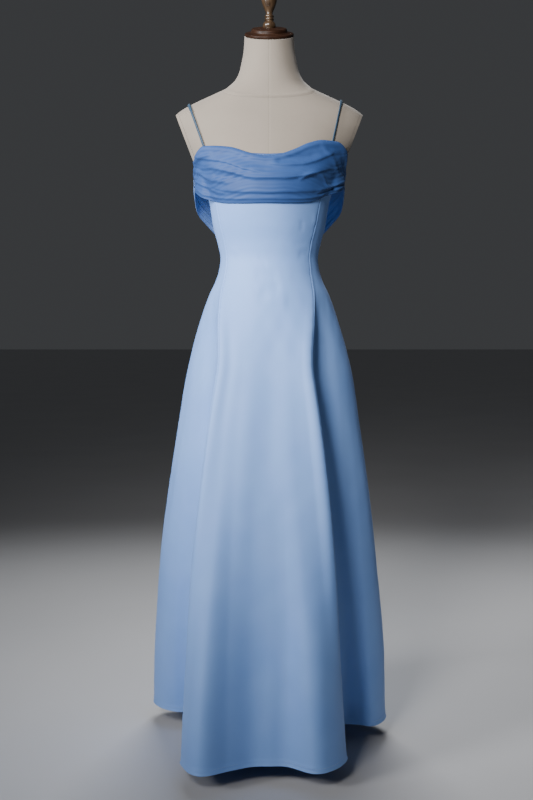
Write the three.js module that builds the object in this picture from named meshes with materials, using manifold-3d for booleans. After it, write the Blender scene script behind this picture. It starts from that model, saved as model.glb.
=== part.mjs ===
// A sleeveless satin maxi dress with a draped chiffon bust band and a chiffon cowl at the back,
// worn by a limbless linen dress form on a round weighted stand.
// Millimetres, +Z up. The front faces -Y and +X is the wearer's left. The origin is on the floor.
import * as THREE from "three";
import { mergeVertices } from "three/addons/utils/BufferGeometryUtils.js";
import Module from "manifold-3d";

const wasm = await Module();
wasm.setup();

// Driving dimensions of the cloth.
const SATIN_WALL = 1.6;
const CHIFFON_WALL = 1.2;
const SEAM_GAP = 0.3;
const BODY_CLEARANCE = 1.05;
const HEM_HEIGHT = 40;
const FITTED = { from: 1040, to: 1360 };
const COLUMNS_PER_FOLD = 2;

// How the skirt's folds turn away from the bodice's angles and how fast they grow towards the hem.
const FOLDS_START = 1072;
const FOLD_TURN = { start: 1097, thigh: 840, hemPower: 1.6 };
const FOLD_GROWTH = { power: 1.7, startShare: 0.14 };

// Driving dimensions of the dress form and its stand.
const FORM_BOTTOM = 740;
const FORM_STEP = 20;
const FORM_FINE_FROM = 1126;
const FORM_COLUMNS = 32;
const TORSO_TOP = 1560;
const NECK_RANGE = { from: 1390, to: 1625 };
const NECK_SEAM = { height: 1483, slope: 0.62 };
const NECK_TOP = { height: 1586, slope: 0.4 };
const NECK_CAP = { radius: 54, step: 7, topRadius: 39, rise: 17 };
const ARM_PLATE = { thickness: 6, lean: 20.8, reach: 204, height: 1408, from: 1230, to: 1470, cutTo: 100 };
const POLE_RADIUS = 14;
const BASE = { radius: 150, thickness: 20, collarRadius: 26, collarTop: 62 };
const ROUND_SIDES = { cap: 28, finial: 16, base: 28, pole: 20, zipBar: 12, zipRing: 12 };
const CUT_BLOCK = 900;

// The turned finial from its foot up: a squat ball, two rings and an urn.
const FINIAL = [
  { radius: 0, z: 1585 },
  { radius: 11, z: 1585 },
  { radius: 11, z: 1602 },
  { radius: 13.5, z: 1605 },
  { radius: 14.5, z: 1609 },
  { radius: 13.5, z: 1613.5 },
  { radius: 11, z: 1617 },
  { radius: 8, z: 1619.5 },
  { radius: 10.3, z: 1621 },
  { radius: 10.5, z: 1623.5 },
  { radius: 8.2, z: 1625.5 },
  { radius: 10.3, z: 1627.5 },
  { radius: 10.4, z: 1630 },
  { radius: 7, z: 1632.5 },
  { radius: 8, z: 1638 },
  { radius: 12.5, z: 1648 },
  { radius: 16.5, z: 1660 },
  { radius: 18, z: 1671 },
  { radius: 16.5, z: 1680 },
  { radius: 12, z: 1686.5 },
  { radius: 6, z: 1690 },
  { radius: 4.5, z: 1693 },
  { radius: 4.8, z: 1697 },
  { radius: 2.8, z: 1700.5 },
  { radius: 0, z: 1701.5 },
];

const degrees = (value) => (value * Math.PI) / 180;

// The linen form: half-width, depth to the front and depth to the back at each height.
const FORM_SECTIONS = [
  { z: 740, width: 116, front: 82, back: 88 },
  { z: 800, width: 127, front: 88, back: 97 },
  { z: 860, width: 129, front: 90, back: 102 },
  { z: 920, width: 130, front: 91, back: 104 },
  { z: 970, width: 127, front: 91, back: 101 },
  { z: 1021, width: 122, front: 91, back: 96 },
  { z: 1048, width: 117.5, front: 89.5, back: 91 },
  { z: 1072, width: 109.5, front: 86, back: 86 },
  { z: 1099, width: 106, front: 83, back: 83 },
  { z: 1126, width: 110.5, front: 86, back: 83 },
  { z: 1170, width: 122, front: 99, back: 90 },
  { z: 1220, width: 130, front: 115, back: 98 },
  { z: 1250, width: 139, front: 121, back: 101 },
  { z: 1275, width: 150, front: 119, back: 104 },
  { z: 1300, width: 163, front: 113, back: 105 },
  { z: 1330, width: 182, front: 104, back: 104 },
  { z: 1360, width: 203, front: 94, back: 100 },
  { z: 1390, width: 215, front: 86, back: 95 },
  { z: 1408, width: 212, front: 80, back: 89 },
  { z: 1419, width: 201, front: 76, back: 85 },
  { z: 1429, width: 186, front: 73, back: 81 },
  { z: 1438, width: 168, front: 71, back: 78 },
  { z: 1448, width: 146, front: 69, back: 75 },
  { z: 1459, width: 121, front: 67, back: 72 },
  { z: 1471, width: 95, front: 66, back: 69 },
  { z: 1483, width: 80, front: 65, back: 67 },
  { z: 1505, width: 67, front: 61, back: 62 },
  { z: 1528, width: 61, front: 58, back: 58 },
  { z: 1557, width: 56, front: 55, back: 55 },
  { z: 1586, width: 54.5, front: 54, back: 54 },
  { z: 1625, width: 54.5, front: 54, back: 54 },
];

// The skirt below the hip, before its folds.
const SKIRT_SECTIONS = [
  { z: 40, width: 262, front: 270, back: 290 },
  { z: 192, width: 256, front: 248, back: 268 },
  { z: 300, width: 248, front: 230, back: 250 },
  { z: 445, width: 235, front: 206, back: 226 },
  { z: 597, width: 217, front: 181, back: 201 },
  { z: 729, width: 199, front: 158, back: 178 },
  { z: 842, width: 184, front: 135, back: 157 },
  { z: 921, width: 165, front: 118, back: 139 },
  { z: 985, width: 146, front: 104, back: 119 },
  { z: 1021, width: 133, front: 97.5, back: 103 },
];

// One row for each crest or valley of the skirt, round the body from centre back to centre back.
// The angles are from the front, positive to the wearer's left, at the bodice, the thigh and the hem.
// The last column is how far the cloth stands out of the plain skirt at the hem.
const FOLDS = [
  { name: "centre_back_right", bodice: -180, thigh: -180, hem: -180, out: -4 },
  { name: "back_valley_right", bodice: -165, thigh: -166, hem: -169, out: -36 },
  { name: "back_crest_right", bodice: -152, thigh: -156, hem: -160, out: 2 },
  { name: "back_seam_right", bodice: -140, thigh: -147, hem: -150, out: 4 },
  { name: "hip_valley_right", bodice: -128, thigh: -136, hem: -141, out: -26 },
  { name: "side_flute_rear_right", bodice: -117, thigh: -126, hem: -134, out: 18 },
  { name: "side_flute_back_right", bodice: -106, thigh: -117, hem: -125, out: 50 },
  { name: "side_seam_right", bodice: -95, thigh: -108, hem: -117, out: 46 },
  { name: "side_flute_crest_right", bodice: -89, thigh: -98, hem: -110.5, out: 12 },
  { name: "side_flute_front_right", bodice: -84, thigh: -90, hem: -107, out: -28 },
  { name: "side_flute_inner_right", bodice: -79, thigh: -80, hem: -106, out: -75 },
  { name: "recess_rear_right", bodice: -75, thigh: -70, hem: -86, out: -104 },
  { name: "recess_right", bodice: -71, thigh: -60, hem: -62, out: -86 },
  { name: "corner_turn_right", bodice: -67, thigh: -50, hem: -46, out: -28 },
  { name: "front_seam_right", bodice: -63, thigh: -41, hem: -38, out: 27 },
  { name: "front_crest_right", bodice: -50, thigh: -31, hem: -26, out: 62 },
  { name: "front_slope_right", bodice: -35, thigh: -22, hem: -17, out: 16 },
  { name: "front_dip_right", bodice: -18, thigh: -11, hem: -9, out: -15 },
  { name: "centre_front", bodice: 0, thigh: 0, hem: 0, out: -22 },
  { name: "front_dip_left", bodice: 16, thigh: 9, hem: 9, out: -14 },
  { name: "front_crest_left", bodice: 31, thigh: 18, hem: 18, out: 34 },
  { name: "front_round_left", bodice: 46, thigh: 27.5, hem: 28, out: 28 },
  { name: "front_seam_left", bodice: 59, thigh: 35.5, hem: 37.5, out: -5 },
  { name: "corner_turn_left", bodice: 64, thigh: 42, hem: 46, out: -56 },
  { name: "recess_left", bodice: 69, thigh: 52, hem: 62, out: -98 },
  { name: "recess_rear_left", bodice: 74, thigh: 65, hem: 84, out: -94 },
  { name: "side_flute_inner_left", bodice: 79, thigh: 75, hem: 86, out: -58 },
  { name: "side_flute_front_left", bodice: 84, thigh: 84, hem: 84, out: -24 },
  { name: "side_flute_crest_left", bodice: 89, thigh: 93, hem: 94, out: 8 },
  { name: "side_seam_left", bodice: 95, thigh: 102, hem: 105, out: 15 },
  { name: "side_flute_back_left", bodice: 105, thigh: 112, hem: 117, out: -6 },
  { name: "hip_valley_left", bodice: 116, thigh: 123, hem: 128, out: -34 },
  { name: "back_flute_left", bodice: 128, thigh: 134, hem: 139, out: 4 },
  { name: "back_seam_left", bodice: 140, thigh: 146, hem: 151, out: 12 },
  { name: "back_valley_left", bodice: 153, thigh: 158, hem: 162, out: -28 },
  { name: "back_rise_left", bodice: 166, thigh: 169, hem: 172, out: -22 },
  { name: "centre_back_left", bodice: 180, thigh: 180, hem: 180, out: -4 },
];

// The front panel is nearly flat down to the thigh: there its folds stand out by this much instead.
const FLAT_FOLDS = {
  front_seam_right: 42,
  front_crest_right: 34,
  front_slope_right: 18,
  front_dip_right: 6,
  centre_front: 2,
  front_dip_left: 4,
  front_crest_left: 12,
  front_round_left: 22,
  front_seam_left: 28,
  corner_turn_left: -48,
};
const FLAT_DOWN_TO = { start: 700, end: 60 };

const PANELS = [
  { name: "back_right", from: "centre_back_right", to: "back_seam_right", upperRows: 2 },
  { name: "side_back_right", from: "back_seam_right", to: "side_seam_right", upperRows: 4 },
  { name: "side_front_right", from: "side_seam_right", to: "front_seam_right", upperRows: 7 },
  { name: "front_centre", from: "front_seam_right", to: "front_seam_left", upperRows: 8 },
  { name: "side_front_left", from: "front_seam_left", to: "side_seam_left", upperRows: 7 },
  { name: "side_back_left", from: "side_seam_left", to: "back_seam_left", upperRows: 4 },
  { name: "back_left", from: "back_seam_left", to: "centre_back_left", upperRows: 2 },
];

// The satin's upper edge under the drapes: high at the straps, low under the arms and at the back.
const NECKLINE = [
  { angle: -180, z: 1190 },
  { angle: -165, z: 1197 },
  { angle: -140, z: 1226 },
  { angle: -110, z: 1248 },
  { angle: -88, z: 1260 },
  { angle: -75, z: 1296 },
  { angle: -63, z: 1326 },
  { angle: -45, z: 1321 },
  { angle: -20, z: 1311 },
  { angle: 0, z: 1309 },
  { angle: 20, z: 1312 },
  { angle: 45, z: 1326 },
  { angle: 63, z: 1331 },
  { angle: 75, z: 1298 },
  { angle: 88, z: 1260 },
  { angle: 110, z: 1248 },
  { angle: 140, z: 1226 },
  { angle: 165, z: 1197 },
  { angle: 180, z: 1190 },
];
const BINDING = { height: 4.6, proud: 0.4, opening: 0.15 };

// The chiffon band over the bust: its edges, and how far out its gathered ends reach.
const FRONT_DRAPE = [
  { angle: -95, top: 1284, bottom: 1250, reach: 166 },
  { angle: -84, top: 1294, bottom: 1243, reach: 162 },
  { angle: -73, top: 1315, bottom: 1229, reach: 152 },
  { angle: -63, top: 1336, bottom: 1219, reach: 125 },
  { angle: -42, top: 1331, bottom: 1212, reach: 90 },
  { angle: -20, top: 1316, bottom: 1210, reach: 90 },
  { angle: -3, top: 1309, bottom: 1210, reach: 90 },
  { angle: 12, top: 1314, bottom: 1210, reach: 90 },
  { angle: 27, top: 1325, bottom: 1211, reach: 90 },
  { angle: 42, top: 1340, bottom: 1214, reach: 90 },
  { angle: 54, top: 1347, bottom: 1221, reach: 110 },
  { angle: 64, top: 1346, bottom: 1231, reach: 132 },
  { angle: 73, top: 1332, bottom: 1240, reach: 154 },
  { angle: 84, top: 1300, bottom: 1250, reach: 164 },
  { angle: 95, top: 1284, bottom: 1255, reach: 168 },
];

// Each soft fold of the band: its place between the top edge (0) and the bottom edge (1)
// at the right gather, the centre and the left gather, its height and its half-breadth.
const FRONT_DRAPE_FOLDS = [
  { right: 0.16, centre: 0.24, left: 0.2, height: 8, breadth: 0.15 },
  { right: 0.55, centre: 0.66, left: 0.62, height: 6, breadth: 0.12 },
  { right: 0.84, centre: 0.88, left: 0.86, height: 4, breadth: 0.06 },
];
const DRAPE_LIFT = { loose: 2.9, edge: 1.7 };

// The cowl that hangs from the same gathers round the back.
const BACK_DRAPE = [
  { angle: 95.2, top: 1284, bottom: 1252, reach: 168 },
  { angle: 103, top: 1280, bottom: 1228, reach: 173 },
  { angle: 112, top: 1268, bottom: 1206, reach: 171 },
  { angle: 122, top: 1250, bottom: 1182, reach: 165 },
  { angle: 134, top: 1222, bottom: 1150, reach: 156 },
  { angle: 150, top: 1184, bottom: 1106, reach: 142 },
  { angle: 165, top: 1159, bottom: 1076, reach: 131 },
  { angle: 180, top: 1150, bottom: 1065, reach: 127 },
];
const BACK_DRAPE_FOLDS = [
  { place: 0.06, height: 5, breadth: 0.06 },
  { place: 0.28, height: 7, breadth: 0.08 },
  { place: 0.52, height: 7, breadth: 0.08 },
  { place: 0.77, height: 7, breadth: 0.08 },
  { place: 0.97, height: 4, breadth: 0.05 },
];
const BACK_DRAPE_HANG = { lean: 12, over: 40, heldFolds: 0.5 };
const FRONT_DRAPE_GRID = { columns: 37, rows: 12, blend: 4, edgePower: 8 };
const BACK_DRAPE_GRID = { columns: 31, rows: 12 };

const STRAP = { width: 5.4, thickness: 3, clearance: 1.3, rise: 2.15, settle: 0.4, inside: 0.05 };
const STRAP_GRID = { steps: 8, sides: 8 };
// Which way the strap's flat side faces: out from the body, and up where it crosses the shoulder's ridge.
const STRAP_FACING = { side: 0.6, ridge: 45, ridgeSide: 0.25, ridgeUp: 60 };
const STRAPS = [
  { name: "strap_right", side: -1, frontAngle: 64, shoulderX: 176, backAngle: 130 },
  { name: "strap_left", side: 1, frontAngle: 62, shoulderX: 158, backAngle: 130 },
];

const ZIP = { top: 1170, bottom: 1021, width: 3, proud: 0.6 };
const SLIDER = { z: 1178, width: 6.4, height: 9, depth: 1.8, ear: 1.1, earLip: 0.4 };
const SLIDER_BAR = { radius: 0.8, out: 4.3, up: 1 };
const PULL = { width: 3.6, ringOuter: 2, ringInner: 1.15, thickness: 1.1, length: 17 };

const satin = new THREE.MeshStandardMaterial({ color: 0x9bb2d2, roughness: 0.38, metalness: 0 });
const chiffon = new THREE.MeshStandardMaterial({ color: 0x6f97d0, roughness: 0.7, metalness: 0 });
const strapCloth = new THREE.MeshStandardMaterial({ color: 0x55749a, roughness: 0.5, metalness: 0 });
const linen = new THREE.MeshStandardMaterial({ color: 0xbeb9af, roughness: 0.9, metalness: 0 });
const walnut = new THREE.MeshStandardMaterial({ color: 0x3c2d26, roughness: 0.35, metalness: 0 });
const blackMetal = new THREE.MeshStandardMaterial({ color: 0x23242a, roughness: 0.45, metalness: 0.6 });
const nickel = new THREE.MeshStandardMaterial({ color: 0x8d96a6, roughness: 0.35, metalness: 0.9 });

const mix = (a, b, t) => a + (b - a) * t;
const clamp = (value, low, high) => Math.min(high, Math.max(low, value));
const ease = (t) => {
  const s = clamp(t, 0, 1);
  return s * s * (3 - 2 * s);
};
const bump = (distance, breadth) => Math.exp(-((distance / breadth) ** 2));
const smoothMax = (a, b, blend) => (a + b + Math.hypot(a - b, blend)) / 2;

// Smooth curve through one column of a table, with no overshoot between its rows.
function column(rows, key, name) {
  const x = rows.map((row) => row[key]);
  const y = rows.map((row) => row[name]);
  const last = x.length - 1;
  const step = x.slice(0, last).map((value, i) => (y[i + 1] - y[i]) / (x[i + 1] - value));
  const slope = y.map((_, i) => {
    if (i === 0 || i === last) return step[Math.min(i, last - 1)];
    if (step[i - 1] * step[i] <= 0) return 0;
    return (2 * step[i - 1] * step[i]) / (step[i - 1] + step[i]);
  });
  return (at) => {
    if (at <= x[0]) return y[0];
    if (at >= x[last]) return y[last];
    const i = x.findIndex((value) => value > at) - 1;
    const span = x[i + 1] - x[i];
    const t = (at - x[i]) / span;
    const a = y[i] + (slope[i] * span * t * (1 - t) ** 2);
    const b = (y[i + 1] - y[i]) * t * t * (3 - 2 * t);
    return a + b - slope[i + 1] * span * t * t * (1 - t);
  };
}

// An oval section with its own depth in front and behind.
function sectionTable(rows) {
  const width = column(rows, "z", "width");
  const front = column(rows, "z", "front");
  const back = column(rows, "z", "back");
  return (z) => ({ width: width(z), front: front(z), back: back(z) });
}

function ovalRadius(section, angle) {
  const depth = Math.cos(angle) > 0 ? section.front : section.back;
  return 1 / Math.hypot(Math.sin(angle) / section.width, Math.cos(angle) / depth);
}

const formSection = sectionTable(FORM_SECTIONS);
const satinEase = SATIN_WALL + BODY_CLEARANCE;
const fittedRows = FORM_SECTIONS.filter((row) => row.z >= FITTED.from && row.z <= FITTED.to).map((row) => ({
  z: row.z,
  width: row.width + satinEase,
  front: row.front + satinEase,
  back: row.back + satinEase,
}));
const dressSection = sectionTable([...SKIRT_SECTIONS, ...fittedRows]);
const necklineHeight = column(NECKLINE, "angle", "z");

const polar = (angle, radius, z) => new THREE.Vector3(radius * Math.sin(angle), -radius * Math.cos(angle), z);
const formPoint = (angle, z) => polar(angle, ovalRadius(formSection(z), angle), z);

// A value between the rows of FOLDS, on a curve that goes through all of them and closes behind.
function foldValue(name, place) {
  const count = FOLDS.length - 1;
  const turn = name === "out" || name === "flat" ? 0 : 360;
  const read = (row) => (name === "flat" ? FLAT_FOLDS[row.name] ?? row.out : row[name]);
  const i = clamp(Math.floor(place), 0, count - 1);
  const t = place - i;
  const at = (k) => {
    if (k < 0) return read(FOLDS[count + k]) - turn;
    if (k > count) return read(FOLDS[k - count]) + turn;
    return read(FOLDS[k]);
  };
  const [a, b, c, d] = [at(i - 1), at(i), at(i + 1), at(i + 2)];
  const square = 2 * a - 5 * b + 4 * c - d;
  const cube = 3 * b - a - 3 * c + d;
  return b + 0.5 * (t * (c - a) + t * t * square + t * t * t * cube);
}

// The dress's outer face at one place among the folds and one height.
function dressPoint(place, z) {
  const { start, thigh, hemPower } = FOLD_TURN;
  const toThigh = ease((start - z) / (start - thigh));
  const toHem = clamp((thigh - z) / (thigh - HEM_HEIGHT), 0, 1) ** hemPower;
  const upper = mix(foldValue("bodice", place), foldValue("thigh", place), toThigh);
  const angle = degrees(mix(upper, foldValue("hem", place), toHem));
  const drop = clamp((FOLDS_START - z) / (FOLDS_START - HEM_HEIGHT), 0, 1);
  const growth = (1 - (1 - drop) ** FOLD_GROWTH.power) * ease(drop / FOLD_GROWTH.startShare);
  const late = ease((FLAT_DOWN_TO.start - z) / (FLAT_DOWN_TO.start - FLAT_DOWN_TO.end));
  const out = mix(foldValue("flat", place), foldValue("out", place), late);
  return polar(angle, ovalRadius(dressSection(z), angle) + out * growth, z);
}

const bodiceAngle = (place) => foldValue("bodice", place);
const placeOf = (name) => FOLDS.findIndex((row) => row.name === name);

// Turns a triangle list the right way out and makes it a geometry.
function solid(points, triangles) {
  let volume = 0;
  const cross = new THREE.Vector3();
  for (const [a, b, c] of triangles) {
    volume += points[a].dot(cross.crossVectors(points[b], points[c]));
  }
  const faces = volume < 0 ? triangles.map(([a, b, c]) => [a, c, b]) : triangles;
  const geometry = new THREE.BufferGeometry();
  const positions = points.flatMap((point) => [point.x, point.y, point.z]);
  geometry.setAttribute("position", new THREE.Float32BufferAttribute(positions, 3));
  geometry.setIndex(faces.flat());
  geometry.computeVertexNormals();
  return geometry;
}

// A wall of cloth: an outer grid of points, and the same grid moved inwards along its normals.
function clothWall(pointAt, columns, rows, thickness) {
  const outer = [];
  const inner = [];
  const step = 0.5;
  for (let i = 0; i < columns; i += 1) {
    for (let j = 0; j < rows; j += 1) {
      const across = pointAt(i + step, j).sub(pointAt(i - step, j));
      const along = pointAt(i, j + step).sub(pointAt(i, j - step));
      const normal = across.cross(along).normalize();
      const point = pointAt(i, j);
      outer.push(point);
      inner.push(point.clone().addScaledVector(normal, -thickness));
    }
  }
  const count = outer.length;
  const triangles = [];
  const quad = (a, b, c, d) => triangles.push([a, b, c], [a, c, d]);
  const id = (i, j) => i * rows + j;
  for (let i = 0; i < columns - 1; i += 1) {
    for (let j = 0; j < rows - 1; j += 1) {
      quad(id(i, j), id(i + 1, j), id(i + 1, j + 1), id(i, j + 1));
      const back = count;
      quad(back + id(i, j), back + id(i, j + 1), back + id(i + 1, j + 1), back + id(i + 1, j));
    }
  }
  const rim = [];
  for (let i = 0; i < columns - 1; i += 1) rim.push(id(i, 0));
  for (let j = 0; j < rows - 1; j += 1) rim.push(id(columns - 1, j));
  for (let i = columns - 1; i > 0; i -= 1) rim.push(id(i, rows - 1));
  for (let j = rows - 1; j > 0; j -= 1) rim.push(id(0, j));
  rim.forEach((from, k) => {
    const to = rim[(k + 1) % rim.length];
    quad(to, from, count + from, count + to);
  });
  return solid([...outer, ...inner], triangles);
}

// A closed body through a list of rings with the same number of points.
function ringLoft(rings) {
  const size = rings[0].length;
  const points = rings.flat();
  const triangles = [];
  for (let k = 0; k < rings.length - 1; k += 1) {
    for (let i = 0; i < size; i += 1) {
      const next = (i + 1) % size;
      const [a, b] = [k * size + i, k * size + next];
      triangles.push([a, b, b + size], [a, b + size, a + size]);
    }
  }
  for (const k of [0, rings.length - 1]) {
    const centre = new THREE.Vector3();
    rings[k].forEach((point) => centre.addScaledVector(point, 1 / size));
    points.push(centre);
    for (let i = 0; i < size; i += 1) {
      const [a, b] = [k * size + i, k * size + ((i + 1) % size)];
      triangles.push(k === 0 ? [b, a, points.length - 1] : [a, b, points.length - 1]);
    }
  }
  return solid(points, triangles);
}

// A closed body of revolution about +Z from a list of [radius, height] pairs that end on the axis.
function turned(profile, segments) {
  const outline = profile.map(([radius, height]) => new THREE.Vector2(radius, height));
  return new THREE.LatheGeometry(outline, segments).rotateX(Math.PI / 2);
}

function toManifold(geometry) {
  const bare = geometry.clone();
  bare.deleteAttribute("normal");
  bare.deleteAttribute("uv");
  const merged = mergeVertices(bare, 1e-4);
  const vertProperties = new Float32Array(merged.attributes.position.array);
  const triVerts = new Uint32Array(merged.index.array);
  return new wasm.Manifold(new wasm.Mesh({ numProp: 3, vertProperties, triVerts }));
}

function fromManifold(body) {
  const mesh = body.getMesh();
  const geometry = new THREE.BufferGeometry();
  geometry.setAttribute("position", new THREE.BufferAttribute(new Float32Array(mesh.vertProperties), 3));
  geometry.setIndex(new THREE.BufferAttribute(new Uint32Array(mesh.triVerts), 1));
  geometry.computeVertexNormals();
  return geometry;
}

// A large block whose lower or upper face lies on the plane z = height + slope * y.
function halfSpace({ height, slope }, above, shift) {
  const tilt = Math.atan(slope);
  const block = new THREE.BoxGeometry(CUT_BLOCK, CUT_BLOCK, CUT_BLOCK);
  block.translate(0, 0, above ? CUT_BLOCK / 2 + shift : -CUT_BLOCK / 2 + shift);
  block.rotateX(tilt).translate(0, 0, height);
  return toManifold(block);
}

// The heights at which the form is sectioned: its table's rows, with finer steps round the chest.
const FORM_LEVELS = FORM_SECTIONS.flatMap((row, i) => {
  const next = FORM_SECTIONS[i + 1];
  if (!next || row.z < FORM_FINE_FROM || next.z - row.z < FORM_STEP) return [row.z];
  const parts = Math.ceil((next.z - row.z) / FORM_STEP);
  return Array.from({ length: parts }, (_, k) => mix(row.z, next.z, k / parts));
});

function formBody(fromZ, toZ) {
  const rings = FORM_LEVELS.filter((z) => z >= fromZ && z <= toZ).map((z) => {
    const ring = [];
    for (let i = 0; i < FORM_COLUMNS; i += 1) ring.push(formPoint((2 * Math.PI * i) / FORM_COLUMNS, z));
    return ring;
  });
  return toManifold(ringLoft(rings));
}

function torsoGeometry() {
  let body = formBody(FORM_BOTTOM, TORSO_TOP).subtract(halfSpace(NECK_SEAM, true, -SEAM_GAP / 2));
  for (const side of [-1, 1]) {
    body = body.subtract(armSlab(side, -ARM_PLATE.thickness - SEAM_GAP, ARM_PLATE.cutTo));
  }
  return fromManifold(body);
}

function neckGeometry() {
  const whole = formBody(NECK_RANGE.from, NECK_RANGE.to);
  const open = whole.subtract(halfSpace(NECK_SEAM, false, SEAM_GAP / 2));
  return fromManifold(open.subtract(halfSpace(NECK_TOP, true, 0)));
}

// A slab of space between two planes that lean outwards with the armhole, on one side of the body.
function armSlab(side, fromOut, toOut) {
  const depth = toOut - fromOut;
  const slab = new THREE.BoxGeometry(depth, CUT_BLOCK, CUT_BLOCK).translate(fromOut + depth / 2, 0, 0);
  slab.rotateY(degrees(ARM_PLATE.lean)).translate(ARM_PLATE.reach, 0, ARM_PLATE.height);
  if (side < 0) slab.rotateZ(Math.PI);
  return toManifold(slab);
}

// The flat oval plate that closes an armhole of the form.
function armPlateGeometry(side) {
  const slice = formBody(ARM_PLATE.from, ARM_PLATE.to);
  return fromManifold(slice.intersect(armSlab(side, -ARM_PLATE.thickness, 0)));
}

function neckCapGeometry() {
  const { radius, step, topRadius, rise } = NECK_CAP;
  const profile = [
    [0, SEAM_GAP], [radius - 1, SEAM_GAP], [radius, 1.5], [radius, step - 1.5], [radius - 1.5, step],
    [topRadius + 2, step], [topRadius + 1, step + 2], [topRadius, rise - 2], [topRadius - 2, rise], [0, rise],
  ];
  return turned(profile, ROUND_SIDES.cap);
}

// The finial, cut at its foot to the cap's slant.
function finialGeometry() {
  const profile = FINIAL.map(({ radius, z }) => [radius, z]);
  const whole = toManifold(turned(profile, ROUND_SIDES.finial));
  return fromManifold(whole.subtract(halfSpace(NECK_TOP, false, NECK_CAP.rise + SEAM_GAP)));
}

function baseGeometry() {
  const { radius, thickness, collarRadius, collarTop } = BASE;
  return turned([
    [0, 0], [radius - 2, 0], [radius, 2], [radius, thickness - 8], [radius - 6, thickness - 2],
    [radius - 16, thickness], [collarRadius + 10, thickness + 4], [collarRadius, thickness + 12],
    [collarRadius, collarTop - 3], [collarRadius - 3, collarTop], [0, collarTop],
  ], ROUND_SIDES.base);
}

function poleGeometry() {
  const foot = BASE.collarTop + SEAM_GAP;
  const top = FORM_BOTTOM - SEAM_GAP;
  return turned([[0, foot], [POLE_RADIUS, foot], [POLE_RADIUS, top], [0, top]], ROUND_SIDES.pole);
}

// The heights of each panel's rows: fixed up to the ribs, then shared out to its upper edge.
const PANEL_LEVELS = [
  40, 130, 240, 360, 480, 600, 700, 780, 850, 915, 970, 1021, 1048, 1072, 1099, 1126, 1148, 1170,
];
// A short step along the folds, to tell which way the cloth runs at a seam.
const NEARBY = 0.05;
function panelGeometry(panel) {
  const { upperRows } = panel;
  const from = placeOf(panel.from);
  const to = placeOf(panel.to);
  const columns = (to - from) * COLUMNS_PER_FOLD + 1;
  const rows = PANEL_LEVELS.length + upperRows;
  const lastLevel = PANEL_LEVELS.length - 1;
  const levelAt = (row, top) => {
    if (row > lastLevel) return mix(PANEL_LEVELS[lastLevel], top, (row - lastLevel) / upperRows);
    const i = clamp(Math.floor(row), 0, lastLevel - 1);
    return mix(PANEL_LEVELS[i], PANEL_LEVELS[i + 1], row - i);
  };
  const inset = (place, z, way) => {
    const near = dressPoint(clamp(place, 0, FOLDS.length - 1), z);
    const far = dressPoint(place + way * NEARBY, z);
    return near.clone().addScaledVector(far.sub(near).normalize(), SEAM_GAP / 2);
  };
  const pointAt = (i, j) => {
    const place = from + i / COLUMNS_PER_FOLD;
    const z = levelAt(j, necklineHeight(bodiceAngle(clamp(place, from, to))));
    if (i === 0) return inset(place, z, 1);
    if (i === columns - 1) return inset(place, z, -1);
    return dressPoint(place, z);
  };
  return clothWall(pointAt, columns, rows, SATIN_WALL);
}

// The bound edge of the neckline, over the panels' own columns and broken at the centre back opening.
function bindingGeometry() {
  const count = (FOLDS.length - 1) * COLUMNS_PER_FOLD + 1;
  const angles = Array.from({ length: count }, (_, i) => bodiceAngle(i / COLUMNS_PER_FOLD));
  angles[0] += BINDING.opening;
  angles[angles.length - 1] -= BINDING.opening;
  const pointAt = (i, j) => {
    const k = clamp(Math.floor(i), 0, angles.length - 2);
    const angle = mix(angles[k], angles[k + 1], i - k);
    const z = necklineHeight(angle) + SEAM_GAP + j * BINDING.height;
    return polar(degrees(angle), ovalRadius(dressSection(z), degrees(angle)) + BINDING.proud, z);
  };
  return clothWall(pointAt, angles.length, 2, SATIN_WALL + BINDING.proud);
}

function frontDrapeGeometry() {
  const { columns, rows, blend, edgePower } = FRONT_DRAPE_GRID;
  const top = column(FRONT_DRAPE, "angle", "top");
  const bottom = column(FRONT_DRAPE, "angle", "bottom");
  const reach = column(FRONT_DRAPE, "angle", "reach");
  const first = FRONT_DRAPE[0].angle;
  const last = FRONT_DRAPE[FRONT_DRAPE.length - 1].angle;
  const pointAt = (i, j) => {
    const degree = mix(first, last, i / (columns - 1));
    const angle = degrees(degree);
    const down = 1 - j / (rows - 1);
    const z = mix(top(degree), bottom(degree), down);
    const across = degree / last;
    let folds = 0;
    for (const fold of FRONT_DRAPE_FOLDS) {
      const end = across < 0 ? fold.right : fold.left;
      const place = mix(fold.centre, end, Math.abs(across));
      folds += fold.height * bump(down - place, fold.breadth);
    }
    const lift = mix(DRAPE_LIFT.loose, DRAPE_LIFT.edge, down ** edgePower);
    const body = ovalRadius(dressSection(z), angle) + lift;
    return polar(angle, smoothMax(body, reach(degree), blend) + folds, z);
  };
  return clothWall(pointAt, columns, rows, CHIFFON_WALL);
}

function backDrapeGeometry() {
  const { columns, rows } = BACK_DRAPE_GRID;
  const top = column(BACK_DRAPE, "angle", "top");
  const bottom = column(BACK_DRAPE, "angle", "bottom");
  const reach = column(BACK_DRAPE, "angle", "reach");
  const first = BACK_DRAPE[0].angle;
  const pointAt = (i, j) => {
    const degree = mix(first, 360 - first, i / (columns - 1));
    const folded = degree > 180 ? 360 - degree : degree;
    const down = 1 - j / (rows - 1);
    const z = mix(top(folded), bottom(folded), down);
    const hang = ease((folded - first) / BACK_DRAPE_HANG.over);
    let folds = 0;
    for (const fold of BACK_DRAPE_FOLDS) folds += fold.height * bump(down - fold.place, fold.breadth);
    const lean = BACK_DRAPE_HANG.lean * hang * (down - 1);
    const stand = folds * mix(BACK_DRAPE_HANG.heldFolds, 1, hang);
    return polar(degrees(degree), reach(folded) + lean + stand, z);
  };
  return clothWall(pointAt, columns, rows, CHIFFON_WALL);
}

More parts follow.
